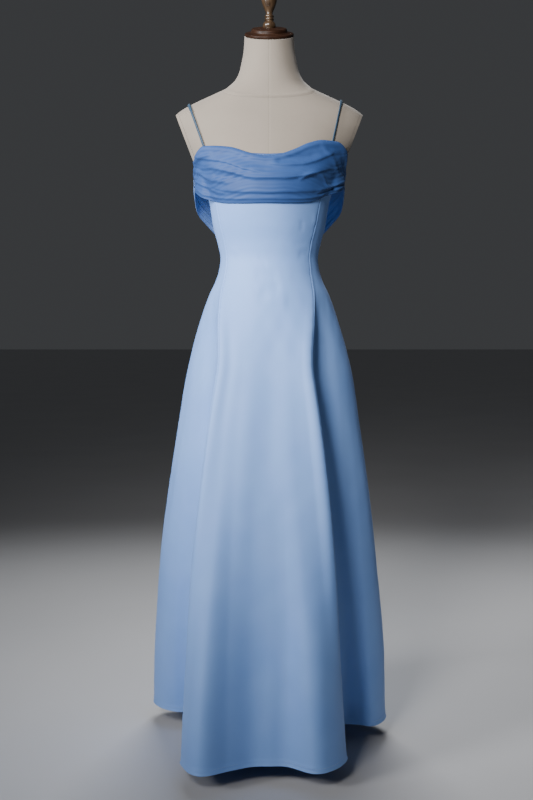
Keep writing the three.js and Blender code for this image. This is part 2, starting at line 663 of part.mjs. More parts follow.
// The form's surface point at a given x and height, on its front or its back, moved out.
function surfaceAt(x, z, face, out) {
  const section = formSection(z);
  const depth = face < 0 ? section.front : section.back;
  const y = face * depth * Math.sqrt(Math.max(0, 1 - (x / section.width) ** 2));
  const delta = 0.5;
  const value = (px, py, pz) => {
    const s = formSection(pz);
    return (px / s.width) ** 2 + (py / (py < 0 ? s.front : s.back)) ** 2;
  };
  const slope = new THREE.Vector3(
    value(x + delta, y, z) - value(x - delta, y, z),
    value(x, y + delta, z) - value(x, y - delta, z),
    value(x, y, z + delta) - value(x, y, z - delta),
  ).normalize();
  return new THREE.Vector3(x, y, z).addScaledVector(slope, out);
}

// The height of the shoulder's ridge at a given distance from the middle.
function ridgeHeight(x) {
  let [low, high] = [ARM_PLATE.height, NECK_SEAM.height];
  while (high - low > 0.01) {
    const middle = (low + high) / 2;
    if (formSection(middle).width > x) low = middle;
    else high = middle;
  }
  return low;
}

// A narrow tube of cloth from the neckline over the shoulder to the back neckline.
function strapGeometry({ side, frontAngle, shoulderX, backAngle }) {
  const out = STRAP.thickness / 2 + STRAP.clearance;
  const top = ridgeHeight(shoulderX);
  const path = [];
  const run = (angle, face, forward) => {
    const low = necklineHeight(side * angle) + SEAM_GAP + BINDING.height + STRAP.rise;
    const lowX = formPoint(degrees(angle), low).x;
    for (let k = 0; k <= STRAP_GRID.steps; k += 1) {
      const t = forward ? k / STRAP_GRID.steps : 1 - k / STRAP_GRID.steps;
      const rise = 1 - (1 - t) ** 2;
      const z = mix(low, top - STRAP.settle, rise);
      const x = Math.min(mix(lowX, shoulderX, rise), formSection(z).width - STRAP.inside);
      path.push(surfaceAt(x, z, face, out));
    }
  };
  run(frontAngle, -1, true);
  run(backAngle, 1, false);
  const rings = path.map((point, k) => {
    const before = path[Math.max(0, k - 1)];
    const after = path[Math.min(path.length - 1, k + 1)];
    const along = after.clone().sub(before).normalize();
    const outward = new THREE.Vector3(STRAP_FACING.side * point.x, point.y, 0);
    if (Math.abs(point.y) < STRAP_FACING.ridge) {
      outward.set(STRAP_FACING.ridgeSide * point.x, point.y, STRAP_FACING.ridgeUp);
    }
    const across = new THREE.Vector3().crossVectors(along, outward).normalize();
    const upward = new THREE.Vector3().crossVectors(across, along).normalize();
    const ring = [];
    for (let i = 0; i < STRAP_GRID.sides; i += 1) {
      const turn = (2 * Math.PI * (i + 0.5)) / STRAP_GRID.sides;
      const spot = point.clone().addScaledVector(across, (STRAP.width / 2) * Math.cos(turn));
      spot.addScaledVector(upward, (STRAP.thickness / 2) * Math.sin(turn));
      ring.push(side < 0 ? new THREE.Vector3(-spot.x, spot.y, spot.z) : spot);
    }
    return ring;
  });
  return ringLoft(rings);
}

// The concealed zip's closed line, lying on the centre back seam.
function zipLineGeometry() {
  const half = ZIP.width / 2;
  const rings = PANEL_LEVELS.filter((z) => z >= ZIP.bottom && z <= ZIP.top).map((z) => {
    const y = dressPoint(0, z).y + SEAM_GAP;
    return [
      new THREE.Vector3(-half, y, z), new THREE.Vector3(half, y, z),
      new THREE.Vector3(half, y + ZIP.proud, z), new THREE.Vector3(-half, y + ZIP.proud, z),
    ];
  });
  return ringLoft(rings);
}

// The slider: a body that lies along the seam, with two ears that carry a round bar.
function sliderGeometry() {
  const { width, height, depth, ear, earLip } = SLIDER;
  const { radius, out, up } = SLIDER_BAR;
  let whole = toManifold(new THREE.BoxGeometry(width, depth, height).translate(0, depth / 2, 0));
  const earLength = out + radius - depth / 2;
  for (const side of [-1, 1]) {
    const block = new THREE.BoxGeometry(ear, earLength, 2 * (radius + earLip));
    block.translate(side * (width - ear) / 2, depth / 2 + earLength / 2, up);
    whole = whole.add(toManifold(block));
  }
  const bar = new THREE.CylinderGeometry(radius, radius, width - ear, ROUND_SIDES.zipBar);
  bar.rotateZ(Math.PI / 2);
  return fromManifold(whole.add(toManifold(bar.translate(0, out, up))));
}

// The pull tab: a small plate that hangs from the slider's bar by a ring.
function pullGeometry() {
  const { width, ringOuter, ringInner, thickness, length } = PULL;
  const outline = new THREE.Shape();
  outline.absarc(0, 0, ringOuter, 0, 2 * Math.PI);
  const hole = new THREE.Path();
  hole.absarc(0, 0, ringInner, 0, 2 * Math.PI, true);
  outline.holes.push(hole);
  const curveSegments = ROUND_SIDES.zipRing;
  const ring = new THREE.ExtrudeGeometry(outline, { depth: width, bevelEnabled: false, curveSegments });
  const plate = new THREE.BoxGeometry(thickness, length, width);
  plate.translate(0, -(ringOuter + ringInner) / 2 - length / 2, width / 2);
  const whole = toManifold(ring).add(toManifold(plate));
  const piece = fromManifold(whole);
  piece.translate(0, 0, -width / 2).rotateX(Math.PI / 2).rotateZ(Math.PI / 2);
  return piece;
}

function piece(name, geometry, material) {
  const mesh = new THREE.Mesh(geometry, material);
  mesh.name = name;
  return mesh;
}

const form = new THREE.Group();
form.add(piece("form_base", baseGeometry(), blackMetal));
form.add(piece("form_pole", poleGeometry(), blackMetal));
form.add(piece("form_torso", torsoGeometry(), linen));
form.add(piece("form_neck", neckGeometry(), linen));
form.add(piece("form_arm_plate_right", armPlateGeometry(-1), linen));
form.add(piece("form_arm_plate_left", armPlateGeometry(1), linen));
const cap = piece("form_neck_cap", neckCapGeometry(), walnut);
cap.position.z = NECK_TOP.height;
cap.rotation.x = Math.atan(NECK_TOP.slope);
form.add(cap);
form.add(piece("form_finial", finialGeometry(), walnut));

const skirt = new THREE.Group();
for (const panel of PANELS) skirt.add(piece(`panel_${panel.name}`, panelGeometry(panel), satin));
skirt.add(piece("neckline_binding", bindingGeometry(), chiffon));

const drapes = new THREE.Group();
drapes.add(piece("front_drape", frontDrapeGeometry(), chiffon));
drapes.add(piece("back_drape", backDrapeGeometry(), chiffon));
for (const strap of STRAPS) drapes.add(piece(strap.name, strapGeometry(strap), strapCloth));

const zip = new THREE.Group();
zip.add(piece("zip_line", zipLineGeometry(), satin));
const sliderLow = dressPoint(0, SLIDER.z - SLIDER.height / 2);
const sliderHigh = dressPoint(0, SLIDER.z + SLIDER.height / 2);
const sliderLean = Math.atan2(sliderHigh.y - sliderLow.y, sliderHigh.z - sliderLow.z);
const sliderGroup = new THREE.Group();
sliderGroup.position.copy(sliderLow).add(sliderHigh).multiplyScalar(0.5);
sliderGroup.position.y += SEAM_GAP;
sliderGroup.rotation.x = -sliderLean;
sliderGroup.add(piece("zip_slider", sliderGeometry(), nickel));
zip.add(sliderGroup);
const pull = piece("zip_pull", pullGeometry(), nickel);
pull.position.set(0, SLIDER_BAR.out, SLIDER_BAR.up);
pull.rotation.x = sliderLean;
sliderGroup.add(pull);

const group = new THREE.Group();
group.add(form, skirt, drapes, zip);

export default group;
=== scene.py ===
"""A satin maxi dress with a chiffon bust band and a back cowl, worn by a limbless linen dress form.

The tables and shape functions are in millimetres, and every mesh is made in metres, +Z up.
The front faces -Y and +X is the wearer's left. Angles run round the body from the front,
positive to the wearer's left.
"""

import math
from collections import namedtuple

import bmesh
import bpy
import numpy as np
from mathutils import Matrix, Vector


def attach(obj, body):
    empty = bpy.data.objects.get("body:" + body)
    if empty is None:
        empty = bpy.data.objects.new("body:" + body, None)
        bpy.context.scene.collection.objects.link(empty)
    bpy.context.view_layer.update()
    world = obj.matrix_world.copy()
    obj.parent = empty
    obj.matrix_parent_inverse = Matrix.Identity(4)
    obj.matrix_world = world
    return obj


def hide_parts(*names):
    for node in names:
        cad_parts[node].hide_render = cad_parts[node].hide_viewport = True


MM = 0.001
# Two points of a mesh that are closer than this, in metres, are one.
SAME_POINT = 1e-6
# A point this close to a cut, in metres, lies on it.
ON_CUT = 1e-7
GOWN = "gown_and_form"
PULL_TAB = "pull_tab"

# Cloth and clearances, in millimetres.
SATIN_WALL = 1.6
SATIN_CLOTH = 0.8
CHIFFON_CLOTH = 0.7
BODY_CLEARANCE = 1.05
SEAM_GAP = 0.3
HEM_HEIGHT = 40
FOLDS_START = 1072

Section = namedtuple("Section", "height width front back")
Fold = namedtuple("Fold", "name bodice thigh hem out")
Panel = namedtuple("Panel", "name first last flat area")
Edge = namedtuple("Edge", "angle height")
Band = namedtuple("Band", "angle top bottom reach")
Pleat = namedtuple("Pleat", "path rise above below")
CowlFold = namedtuple("CowlFold", "side middle rise above below")
Crease = namedtuple("Crease", "place height end_place end_height rise breadth")
Strap = namedtuple("Strap", "node side front_angle shoulder back_angle")
Wander = namedtuple("Wander", "seed longest shortest waves")
Dents = namedtuple("Dents", "rise around up below over")
EdgeFold = namedtuple("EdgeFold", "seam inside beyond rises")
Softbox = namedtuple("Softbox", "name place aim size power colour spread in_reflections")
Turned = namedtuple("Turned", "name node slot profile arc_steps arc sides rounding")

# The linen form: half-width, depth to the front and depth to the back at each height.
FORM_SECTIONS = [
    Section(740, 116, 82, 88),
    Section(800, 127, 88, 97),
    Section(860, 129, 90, 102),
    Section(920, 130, 91, 104),
    Section(970, 127, 91, 101),
    Section(1021, 122, 91, 96),
    Section(1048, 117.5, 89.5, 91),
    Section(1072, 109.5, 86, 86),
    Section(1099, 106, 83, 83),
    Section(1126, 110.5, 86, 83),
    Section(1170, 122, 99, 90),
    Section(1220, 130, 115, 98),
    Section(1250, 139, 121, 101),
    Section(1275, 150, 119, 104),
    Section(1300, 163, 113, 105),
    Section(1330, 182, 104, 104),
    Section(1360, 203, 94, 100),
    Section(1390, 215, 86, 95),
    Section(1408, 212, 80, 89),
    Section(1419, 201, 76, 85),
    Section(1429, 186, 73, 81),
    Section(1438, 168, 71, 78),
    Section(1448, 146, 69, 75),
    Section(1459, 121, 67, 72),
    Section(1471, 95, 66, 69),
    Section(1483, 80, 65, 67),
    Section(1505, 67, 61, 62),
    Section(1528, 61, 58, 58),
    Section(1557, 56, 55, 55),
    Section(1586, 54.5, 54, 54),
    Section(1625, 54.5, 54, 54),
]
FITTED = (1040, 1360)

# The skirt below the hip, before its folds.
SKIRT_SECTIONS = [
    Section(40, 262, 270, 290),
    Section(192, 256, 248, 268),
    Section(300, 248, 230, 250),
    Section(445, 235, 206, 226),
    Section(597, 217, 181, 201),
    Section(729, 199, 158, 178),
    Section(842, 184, 135, 157),
    Section(921, 165, 118, 139),
    Section(985, 146, 104, 119),
    Section(1021, 133, 97.5, 103),
]

# Each crest or valley of the skirt from centre back to centre back: its angle at the bodice,
# the thigh and the hem, and how far it stands out of the plain skirt at the hem.
FOLDS = [
    Fold("centre_back_right", -180, -180, -180, -4),
    Fold("back_valley_right", -165, -166, -169, -36),
    Fold("back_crest_right", -152, -156, -160, 2),
    Fold("back_seam_right", -140, -147, -150, 4),
    Fold("hip_valley_right", -128, -136, -141, -26),
    Fold("side_flute_rear_right", -117, -126, -134, 18),
    Fold("side_flute_back_right", -106, -117, -125, 50),
    Fold("side_seam_right", -95, -108, -117, 46),
    Fold("side_flute_crest_right", -89, -98, -110.5, 12),
    Fold("side_flute_front_right", -84, -90, -107, -28),
    Fold("side_flute_inner_right", -79, -80, -106, -75),
    Fold("recess_rear_right", -75, -70, -86, -104),
    Fold("recess_right", -71, -60, -62, -86),
    Fold("corner_turn_right", -67, -50, -46, -28),
    Fold("front_seam_right", -63, -41, -38, 27),
    Fold("front_crest_right", -50, -31, -26, 62),
    Fold("front_slope_right", -35, -22, -17, 16),
    Fold("front_dip_right", -18, -11, -9, -15),
    Fold("centre_front", 0, 0, 0, -22),
    Fold("front_dip_left", 16, 9, 9, -14),
    Fold("front_crest_left", 31, 18, 18, 34),
    Fold("front_round_left", 46, 27.5, 28, 28),
    Fold("front_seam_left", 59, 35.5, 37.5, -5),
    Fold("corner_turn_left", 64, 42, 46, -56),
    Fold("recess_left", 69, 52, 62, -98),
    Fold("recess_rear_left", 74, 65, 84, -94),
    Fold("side_flute_inner_left", 79, 75, 86, -58),
    Fold("side_flute_front_left", 84, 84, 84, -24),
    Fold("side_flute_crest_left", 89, 93, 94, 8),
    Fold("side_seam_left", 95, 102, 105, 15),
    Fold("side_flute_back_left", 105, 112, 117, -6),
    Fold("hip_valley_left", 116, 123, 128, -34),
    Fold("back_flute_left", 128, 134, 139, 4),
    Fold("back_seam_left", 140, 146, 151, 12),
    Fold("back_valley_left", 153, 158, 162, -28),
    Fold("back_rise_left", 166, 169, 172, -22),
    Fold("centre_back_left", 180, 180, 180, -4),
]
# The front panel is nearly flat down to the thigh: there its folds stand out by this much instead.
FLAT_FOLDS = {
    "front_seam_right": 42, "front_crest_right": 34, "front_slope_right": 18, "front_dip_right": 6,
    "centre_front": 2, "front_dip_left": 4, "front_crest_left": 12, "front_round_left": 22,
    "front_seam_left": 28, "corner_turn_left": -48,
}
FLAT_DOWN_TO = {"start": 700, "end": 60}
FOLD_TURN = {"start": 1097, "thigh": 840, "hem_power": 1.6}
FOLD_GROWTH = {"power": 1.7, "start_share": 0.14}

# The gown's seven panels, from which seam to which seam, with each one's cut size in metres:
# the hem's width by the length, and the area of that flared cut.
PANELS = [
    Panel("back_right", "centre_back_right", "back_seam_right", (0.20, 1.20), 0.135),
    Panel("side_back_right", "back_seam_right", "side_seam_right", (0.25, 1.24), 0.185),
    Panel("side_front_right", "side_seam_right", "front_seam_right", (0.46, 1.33), 0.305),
    Panel("front_centre", "front_seam_right", "front_seam_left", (0.48, 1.31), 0.385),
    Panel("side_front_left", "front_seam_left", "side_seam_left", (0.40, 1.33), 0.275),
    Panel("side_back_left", "side_seam_left", "back_seam_left", (0.28, 1.24), 0.195),
    Panel("back_left", "back_seam_left", "centre_back_left", (0.19, 1.20), 0.133),
]

NECKLINE = [
    Edge(-180, 1190),
    Edge(-165, 1197),
    Edge(-140, 1226),
    Edge(-110, 1248),
    Edge(-88, 1260),
    Edge(-75, 1296),
    Edge(-63, 1326),
    Edge(-45, 1321),
    Edge(-20, 1311),
    Edge(0, 1309),
    Edge(20, 1312),
    Edge(45, 1326),
    Edge(63, 1331),
    Edge(75, 1298),
    Edge(88, 1260),
    Edge(110, 1248),
    Edge(140, 1226),
    Edge(165, 1197),
    Edge(180, 1190),
]
BINDING = {"height": 4.6, "proud": 0.4, "opening": 0.15, "columns": 620, "rows": 13, "ripple": 0.16}
BINDING_RIPPLE = Wander(41, 9, 3, 5)

# The chiffon band over the bust: its edges, and how far out its gathered ends reach.
FRONT_DRAPE = [
    Band(-95, 1284, 1250, 166),
    Band(-84, 1294, 1243, 162),
    Band(-73, 1315, 1229, 152),
    Band(-63, 1336, 1219, 125),
    Band(-42, 1331, 1212, 90),
    Band(-20, 1316, 1210, 90),
    Band(-3, 1309, 1210, 90),
    Band(12, 1314, 1210, 90),
    Band(27, 1325, 1211, 90),
    Band(42, 1340, 1214, 90),
    Band(54, 1347, 1221, 110),
    Band(64, 1346, 1231, 132),
    Band(73, 1332, 1240, 154),
    Band(84, 1300, 1250, 164),
    Band(95, 1284, 1255, 168),
]
FRONT_DRAPE_LIFT = {"loose": 2.9, "edge": 1.7, "edge_power": 8, "blend": 4}

# The band's pleats. Each runs through a few points (angle, height) and stands up along that line,
# with a soft slope on one side and a tight tuck on the other.
FRONT_PLEATS = [
    Pleat([(-72, 1315), (-66, 1311), (-43, 1299), (-20, 1280), (-10, 1276)], 3.4, 13, 3.2),
    Pleat([(-62, 1291), (-52, 1286), (-38, 1277), (-11, 1262), (13, 1262), (36, 1271), (49, 1280),
           (60, 1288)], 4.2, 15, 4),
    Pleat([(-60, 1249), (-53, 1243), (-33, 1235), (-2, 1231), (42, 1237), (63, 1249), (74, 1258)],
          2.0, 9, 2.6),
    Pleat([(-70, 1233), (-59, 1226), (-30, 1219), (0, 1218), (30, 1219), (59, 1230), (72, 1242)],
          1.8, 4.5, 2.2),
    Pleat([(-83, 1290), (-76, 1285), (-63, 1266), (-50, 1259), (-42, 1256)], 3.0, 7, 4.5),
    Pleat([(-84, 1270), (-76, 1262), (-65, 1247), (-54, 1236), (-46, 1233)], 2.6, 6, 4),
    Pleat([(-85, 1256), (-78, 1246), (-68, 1233), (-58, 1227)], 2, 5, 3.5),
    Pleat([(-84, 1302), (-74, 1306), (-64, 1313), (-56, 1316)], 2.6, 5, 3),
    Pleat([(2, 1292), (12, 1290), (31, 1293), (44, 1301), (56, 1314), (62, 1322)], 3.0, 8, 4),
    Pleat([(30, 1262), (43, 1273), (52, 1268), (61, 1251), (68, 1246)], 4.0, 6, 4.5),
    Pleat([(52, 1330), (60, 1312), (68, 1290), (76, 1277), (84, 1271)], 2.2, 10, 7),
    Pleat([(50, 1236), (59, 1242), (74, 1260), (84, 1269)], 3.0, 6, 3.4),
    Pleat([(56, 1230), (66, 1239), (77, 1250), (85, 1257)], 2.2, 4, 3),
    Pleat([(8, 1300), (24, 1304), (34, 1307), (46, 1313)], -1.9, 7, 8),
    Pleat([(-56, 1274), (-44, 1268), (-30, 1262)], -1.6, 6, 6),
]

# The cowl that hangs from the same gathers round the back.
BACK_DRAPE = [
    Band(95.2, 1284, 1252, 168),
    Band(103, 1280, 1226, 171),
    Band(112, 1268, 1204, 174),
    Band(122, 1250, 1182, 168),
    Band(134, 1222, 1150, 156),
    Band(150, 1184, 1106, 142),
    Band(165, 1159, 1076, 131),
    Band(180, 1150, 1065, 127),
]
BACK_DRAPE_HANG = {"lean": 12, "over": 40, "held_folds": 0.3}

# The cowl's folds: where each lies between the upper and the lower edge at the side gather and
# at centre back, how far it stands out, and its soft and its tight slope as shares of the depth.
COWL_FOLDS = [
    CowlFold(0.03, 0.05, 5.5, 0.05, 0.05),
    CowlFold(0.14, 0.20, 4.5, 0.09, 0.035),
    CowlFold(0.30, 0.33, 6.5, 0.08, 0.04),
    CowlFold(0.45, 0.47, 4.0, 0.06, 0.03),
    CowlFold(0.55, 0.60, 6.5, 0.08, 0.035),
    CowlFold(0.70, 0.72, 3.6, 0.06, 0.03),
    CowlFold(0.82, 0.84, 6.0, 0.07, 0.035),
    CowlFold(0.95, 0.97, 3.8, 0.05, 0.04),
]

# Soft creases of the satin: from one place among the folds and height to another.
CREASES = [
    Crease(17.0, 1101, 17.9, 1078, -0.9, 4.0),
    Crease(16.6, 1062, 19.0, 1052, -1.6, 16.0),
    Crease(19.2, 1036, 17.0, 1018, -1.4, 15.0),
    Crease(17.6, 1012, 19.8, 1000, 1.2, 14.0),
    Crease(16.4, 1034, 17.2, 990, 0.9, 10.0),
    Crease(19.6, 1180, 20.7, 1150, -0.7, 6.0),
    Crease(20.4, 1196, 21.4, 1166, 0.8, 7.0),
    Crease(19.9, 1124, 21.6, 1131, -0.5, 3.5),
    Crease(14.4, 1118, 15.6, 1108, 0.6, 6.0),
    Crease(20.6, 1104, 22.0, 1112, -0.8, 8.0),
    Crease(18.3, 960, 17.7, 560, -2.4, 26.0),
    Crease(16.6, 900, 16.3, 380, 2.0, 22.0),
    Crease(19.5, 820, 19.2, 300, 1.8, 24.0),
    Crease(21.2, 1010, 21.5, 760, 1.2, 14.0),
    Crease(14.9, 980, 14.6, 700, -1.0, 12.0),
    Crease(18.8, 520, 18.4, 90, 1.8, 22.0),
    Crease(8.4, 960, 7.6, 420, -1.8, 14.0),
    Crease(6.6, 880, 6.2, 300, 1.6, 14.0),
    Crease(28.4, 940, 28.8, 360, 1.8, 14.0),
    Crease(30.2, 860, 30.5, 260, -1.6, 16.0),
    Crease(8.8, 1126, 7.0, 1098, -0.9, 7.0),
    Crease(27.2, 1128, 29.2, 1102, -0.9, 7.0),
    Crease(5.4, 1118, 3.4, 1090, -0.9, 8.0),
    Crease(31.0, 1112, 33.2, 1086, -1.0, 8.0),
    Crease(2.4, 1108, 0.8, 1078, 0.8, 9.0),
    Crease(34.0, 1106, 35.4, 1074, -0.9, 9.0),
    Crease(2.6, 940, 2.3, 420, 2.2, 20.0),
    Crease(33.6, 900, 33.9, 380, 2.4, 20.0),
    Crease(0.9, 700, 1.2, 160, 1.8, 20.0),
    Crease(35.1, 760, 34.8, 200, 1.8, 20.0),
]

STRAP = {
    "width": 5.4, "fuller": 0.2, "thickness": 3.0, "clearance": 1.3, "rise": 2.15, "settle": 0.4,
    "inside": 0.05, "sides": 16, "steps": 44,
}
STRAP_FACING = {"side": 0.6, "ridge": 45, "over": 12, "ridge_side": 0.25, "ridge_up": 60}
STRAPS = [
    Strap("strap_right", -1, 64, 176, 130),
    Strap("strap_left", 1, 62, 158, 130),
]

NECK_SEAM = {"height": 1483, "slope": 0.62}
NECK_TOP = {"height": 1586, "slope": 0.4}
ARM_PLATE = {"thickness": 6, "lean": 20.8, "reach": 204, "height": 1408}
ZIP = {"top": 1170, "bottom": 1021, "step": 1.5}
# Across the zip's closed line: how far each point lies to the side and how far it stands out.
ZIP_ACROSS = [(-1.5, 0.0), (-1.5, 0.45), (-0.35, 0.6), (0.0, 0.25), (0.35, 0.6), (1.5, 0.45), (1.5, 0.0)]
ZIP_EDGE = {"width": 0.16, "steps": 2, "sharp": 30, "rounded_from": 40, "flat": 2}


# Curves and shapes

def curve_through(places, values):
    """A smooth curve through the values, with no overshoot between them."""
    x, y = np.array(places, float), np.array(values, float)
    step = np.diff(y) / np.diff(x)
    slope = np.empty_like(y)
    slope[0], slope[-1] = step[0], step[-1]
    same = step[:-1] * step[1:] > 0
    total = np.where(same, step[:-1] + step[1:], 1)
    slope[1:-1] = np.where(same, 2 * step[:-1] * step[1:] / total, 0)

    def at(where):
        w = np.clip(where, x[0], x[-1])
        i = np.clip(np.searchsorted(x, w, side="right") - 1, 0, len(x) - 2)
        span = x[i + 1] - x[i]
        t = (w - x[i]) / span
        rise = slope[i] * span * t * (1 - t) ** 2 - slope[i + 1] * span * t * t * (1 - t)
        return y[i] + rise + (y[i + 1] - y[i]) * t * t * (3 - 2 * t)

    return at


def mix(a, b, share):
    return a + (b - a) * share


def ease(share):
    s = np.clip(share, 0, 1)
    return s * s * (3 - 2 * s)


def smooth_max(a, b, blend):
    return (a + b + np.hypot(a - b, blend)) / 2


def section_curves(rows):
    heights = [row.height for row in rows]
    sides = ("width", "front", "back")
    return [curve_through(heights, [getattr(row, key) for row in rows]) for key in sides]


def band_curves(rows):
    """The upper edge, the lower edge and the reach of a drape, each a curve over the angle."""
    angles = [row.angle for row in rows]
    return [curve_through(angles, [getattr(row, key) for row in rows]) for key in ("top", "bottom", "reach")]


def oval_radius(curves, angle, height):
    """How far an oval body's surface is from its axis, at an angle in degrees and a height."""
    width, front, back = (curve(height) for curve in curves)
    a = np.radians(angle)
    depth = np.where(np.cos(a) > 0, front, back)
    return 1 / np.hypot(np.sin(a) / width, np.cos(a) / depth)


def polar(angle, radius, height):
    a = np.radians(angle)
    angle_sin, angle_cos, radius, height = np.broadcast_arrays(np.sin(a), np.cos(a), radius, height)
    return np.stack([radius * angle_sin, -radius * angle_cos, height], axis=-1)


FORM = section_curves(FORM_SECTIONS)
SATIN_EASE = SATIN_WALL + BODY_CLEARANCE
DRESS = section_curves(SKIRT_SECTIONS + [
    Section(row.height, row.width + SATIN_EASE, row.front + SATIN_EASE, row.back + SATIN_EASE)
    for row in FORM_SECTIONS if FITTED[0] <= row.height <= FITTED[1]
])
neckline_height = curve_through([e.angle for e in NECKLINE], [e.height for e in NECKLINE])


def fold_value(key, place):
    """A value between the rows of FOLDS, on a curve that goes through all of them and closes behind."""
    if key == "flat":
        values = np.array([FLAT_FOLDS.get(fold.name, fold.out) for fold in FOLDS], float)
    else:
        values = np.array([getattr(fold, key) for fold in FOLDS], float)
    turn = 0 if key in ("out", "flat") else 360
    ring = np.concatenate([[values[-2] - turn], values, [values[1] + turn, values[2] + turn]])
    i = np.clip(np.floor(place).astype(int), 0, len(values) - 2)
    t = place - i
    a, b, c, d = ring[i], ring[i + 1], ring[i + 2], ring[i + 3]
    return b + 0.5 * (t * (c - a) + t * t * (2 * a - 5 * b + 4 * c - d) + t ** 3 * (3 * b - a - 3 * c + d))


def place_of(name):
    return [fold.name for fold in FOLDS].index(name)


def nearest(places, place):
    """The column of the grid that lies at a place among the folds."""
    return int(np.argmin(np.abs(places - place)))


def bump(apart, breadth):
    """A soft swelling: 1 on its middle line, fading to nothing on both sides."""
    return np.exp(-((apart / breadth) ** 2))


def dress_points(place, height):
    """The dress's outer face at places among the folds and heights, in millimetres."""
    start, thigh = FOLD_TURN["start"], FOLD_TURN["thigh"]
    to_thigh = ease((start - height) / (start - thigh))
    to_hem = np.clip((thigh - height) / (thigh - HEM_HEIGHT), 0, 1) ** FOLD_TURN["hem_power"]
    upper = mix(fold_value("bodice", place), fold_value("thigh", place), to_thigh)
    angle = mix(upper, fold_value("hem", place), to_hem)
    drop = np.clip((FOLDS_START - height) / (FOLDS_START - HEM_HEIGHT), 0, 1)
    growth = (1 - (1 - drop) ** FOLD_GROWTH["power"]) * ease(drop / FOLD_GROWTH["start_share"])
    late = ease((FLAT_DOWN_TO["start"] - height) / (FLAT_DOWN_TO["start"] - FLAT_DOWN_TO["end"]))
    out = mix(fold_value("flat", place), fold_value("out", place), late)
    return polar(angle, oval_radius(DRESS, angle, height) + out * growth, height)


def outward(points):
    """Unit normals of a grid of points whose columns run round the body and whose rows run up."""
    across = np.gradient(points, axis=0)
    along = np.gradient(points, axis=1)
    normal = np.cross(across, along)
    return normal / np.maximum(np.linalg.norm(normal, axis=-1, keepdims=True), 1e-9)


def run_lengths(points, axis):
    """How far each point of a grid is from the grid's first line, measured along the cloth."""
    steps = np.linalg.norm(np.diff(points, axis=axis), axis=-1)
    start = np.zeros_like(np.take(steps, [0], axis=axis))
    return np.cumsum(np.concatenate([start, steps], axis=axis), axis=axis)


def uneven(places, seed, longest, shortest, waves):
    """A gentle wandering value between about -1 and 1, the same on each run."""
    rng = np.random.default_rng(seed)
    total = np.zeros_like(places, float)
    for _ in range(waves):
        length = rng.uniform(shortest, longest)
        total = total + np.sin(2 * math.pi * places / length + rng.uniform(0, 2 * math.pi))
    return total / math.sqrt(waves)


# Meshes

def new_piece(name, mesh, material):
    piece = bpy.data.objects.new(name, mesh)
    bpy.context.scene.collection.objects.link(piece)
    mesh.materials.append(material)
    return piece


def seat(piece, node, slot, body=GOWN):
    """Puts a piece on a body in place of a plain solid. The material slot it is given is not used."""
    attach(piece, body)
    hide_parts(node)


def grid_faces(columns, rows, closed):
    i = np.arange(columns if closed else columns - 1)
    j = np.arange(rows - 1)
    i, j = (g.ravel() for g in np.meshgrid(i, j, indexing="ij"))
    k = (i + 1) % columns
    return np.stack([i * rows + j, k * rows + j, k * rows + j + 1, i * rows + j + 1], axis=1)


def cloth_piece(name, points, material):
    """A smooth sheet through a grid of points in millimetres, with a map in metres along the cloth."""
    columns, rows = points.shape[:2]
    mesh = bpy.data.meshes.new(name)
    faces = grid_faces(columns, rows, closed=False)
    mesh.from_pydata((points.reshape(-1, 3) * MM).tolist(), [], faces.tolist())
    lengths = np.stack([run_lengths(points, 0), run_lengths(points, 1)], axis=-1) * MM
    set_cloth_map(mesh, lengths.reshape(-1, 2))
    mesh.shade_smooth()
    return new_piece(name, mesh, material)


def set_cloth_map(mesh, per_vertex):
    corner_vertex = np.zeros(len(mesh.loops), np.int32)
    mesh.loops.foreach_get("vertex_index", corner_vertex)
    cloth_map = mesh.uv_layers.new(name="cloth_map")
    cloth_map.data.foreach_set("uv", per_vertex[corner_vertex].astype(np.float32).ravel())


def thicken(piece, thickness):
    """Gives the cloth its thickness, inwards from its outer face."""
    wall = piece.modifiers.new("cloth_thickness", "SOLIDIFY")
    wall.thickness = thickness * MM
    wall.offset = -1
    wall.use_even_offset = False
    return piece


def ring_tube(name, rings, material):
    """A smooth closed tube through rings of points in millimetres, with its ends filled."""
    count, sides = rings.shape[:2]
    mesh = bpy.data.meshes.new(name)
    faces = []
    for k in range(count - 1):
        for i in range(sides):
            n = (i + 1) % sides
            faces.append([k * sides + i, k * sides + n, (k + 1) * sides + n, (k + 1) * sides + i])
    faces.append(list(range(sides))[::-1])
    faces.append([(count - 1) * sides + i for i in range(sides)])
    mesh.from_pydata((rings.reshape(-1, 3) * MM).tolist(), [], faces)
    along = run_lengths(rings, 0)
    around = run_lengths(rings, 1)
    set_cloth_map(mesh, np.stack([around, along], axis=-1).reshape(-1, 2) * MM)
    mesh.shade_smooth()
    return new_piece(name, mesh, material)


def round_edges(piece, width, steps, angle):
    """Rounds the edges at which faces turn by more than an angle."""
    edge = piece.modifiers.new("rounded_edges", "BEVEL")
    edge.width = width * MM
    edge.segments = steps
    edge.limit_method = "ANGLE"
    edge.angle_limit = math.radians(angle)


def recalculate_outside(mesh):
    """Turns all faces of a closed piece outwards."""
    bm = bmesh.new()
    bm.from_mesh(mesh)
    bmesh.ops.recalc_face_normals(bm, faces=bm.faces)
    bm.to_mesh(mesh)
    bm.free()


# Finishes

# A wave texture turns by this much over one unit of its map at scale 1.
WAVE_TURN = 20
# The mixing node's colour sockets, by number because its sockets share their names.
MIX_SHARE, MIX_FIRST, MIX_SECOND, MIX_RESULT = 0, 6, 7, 2
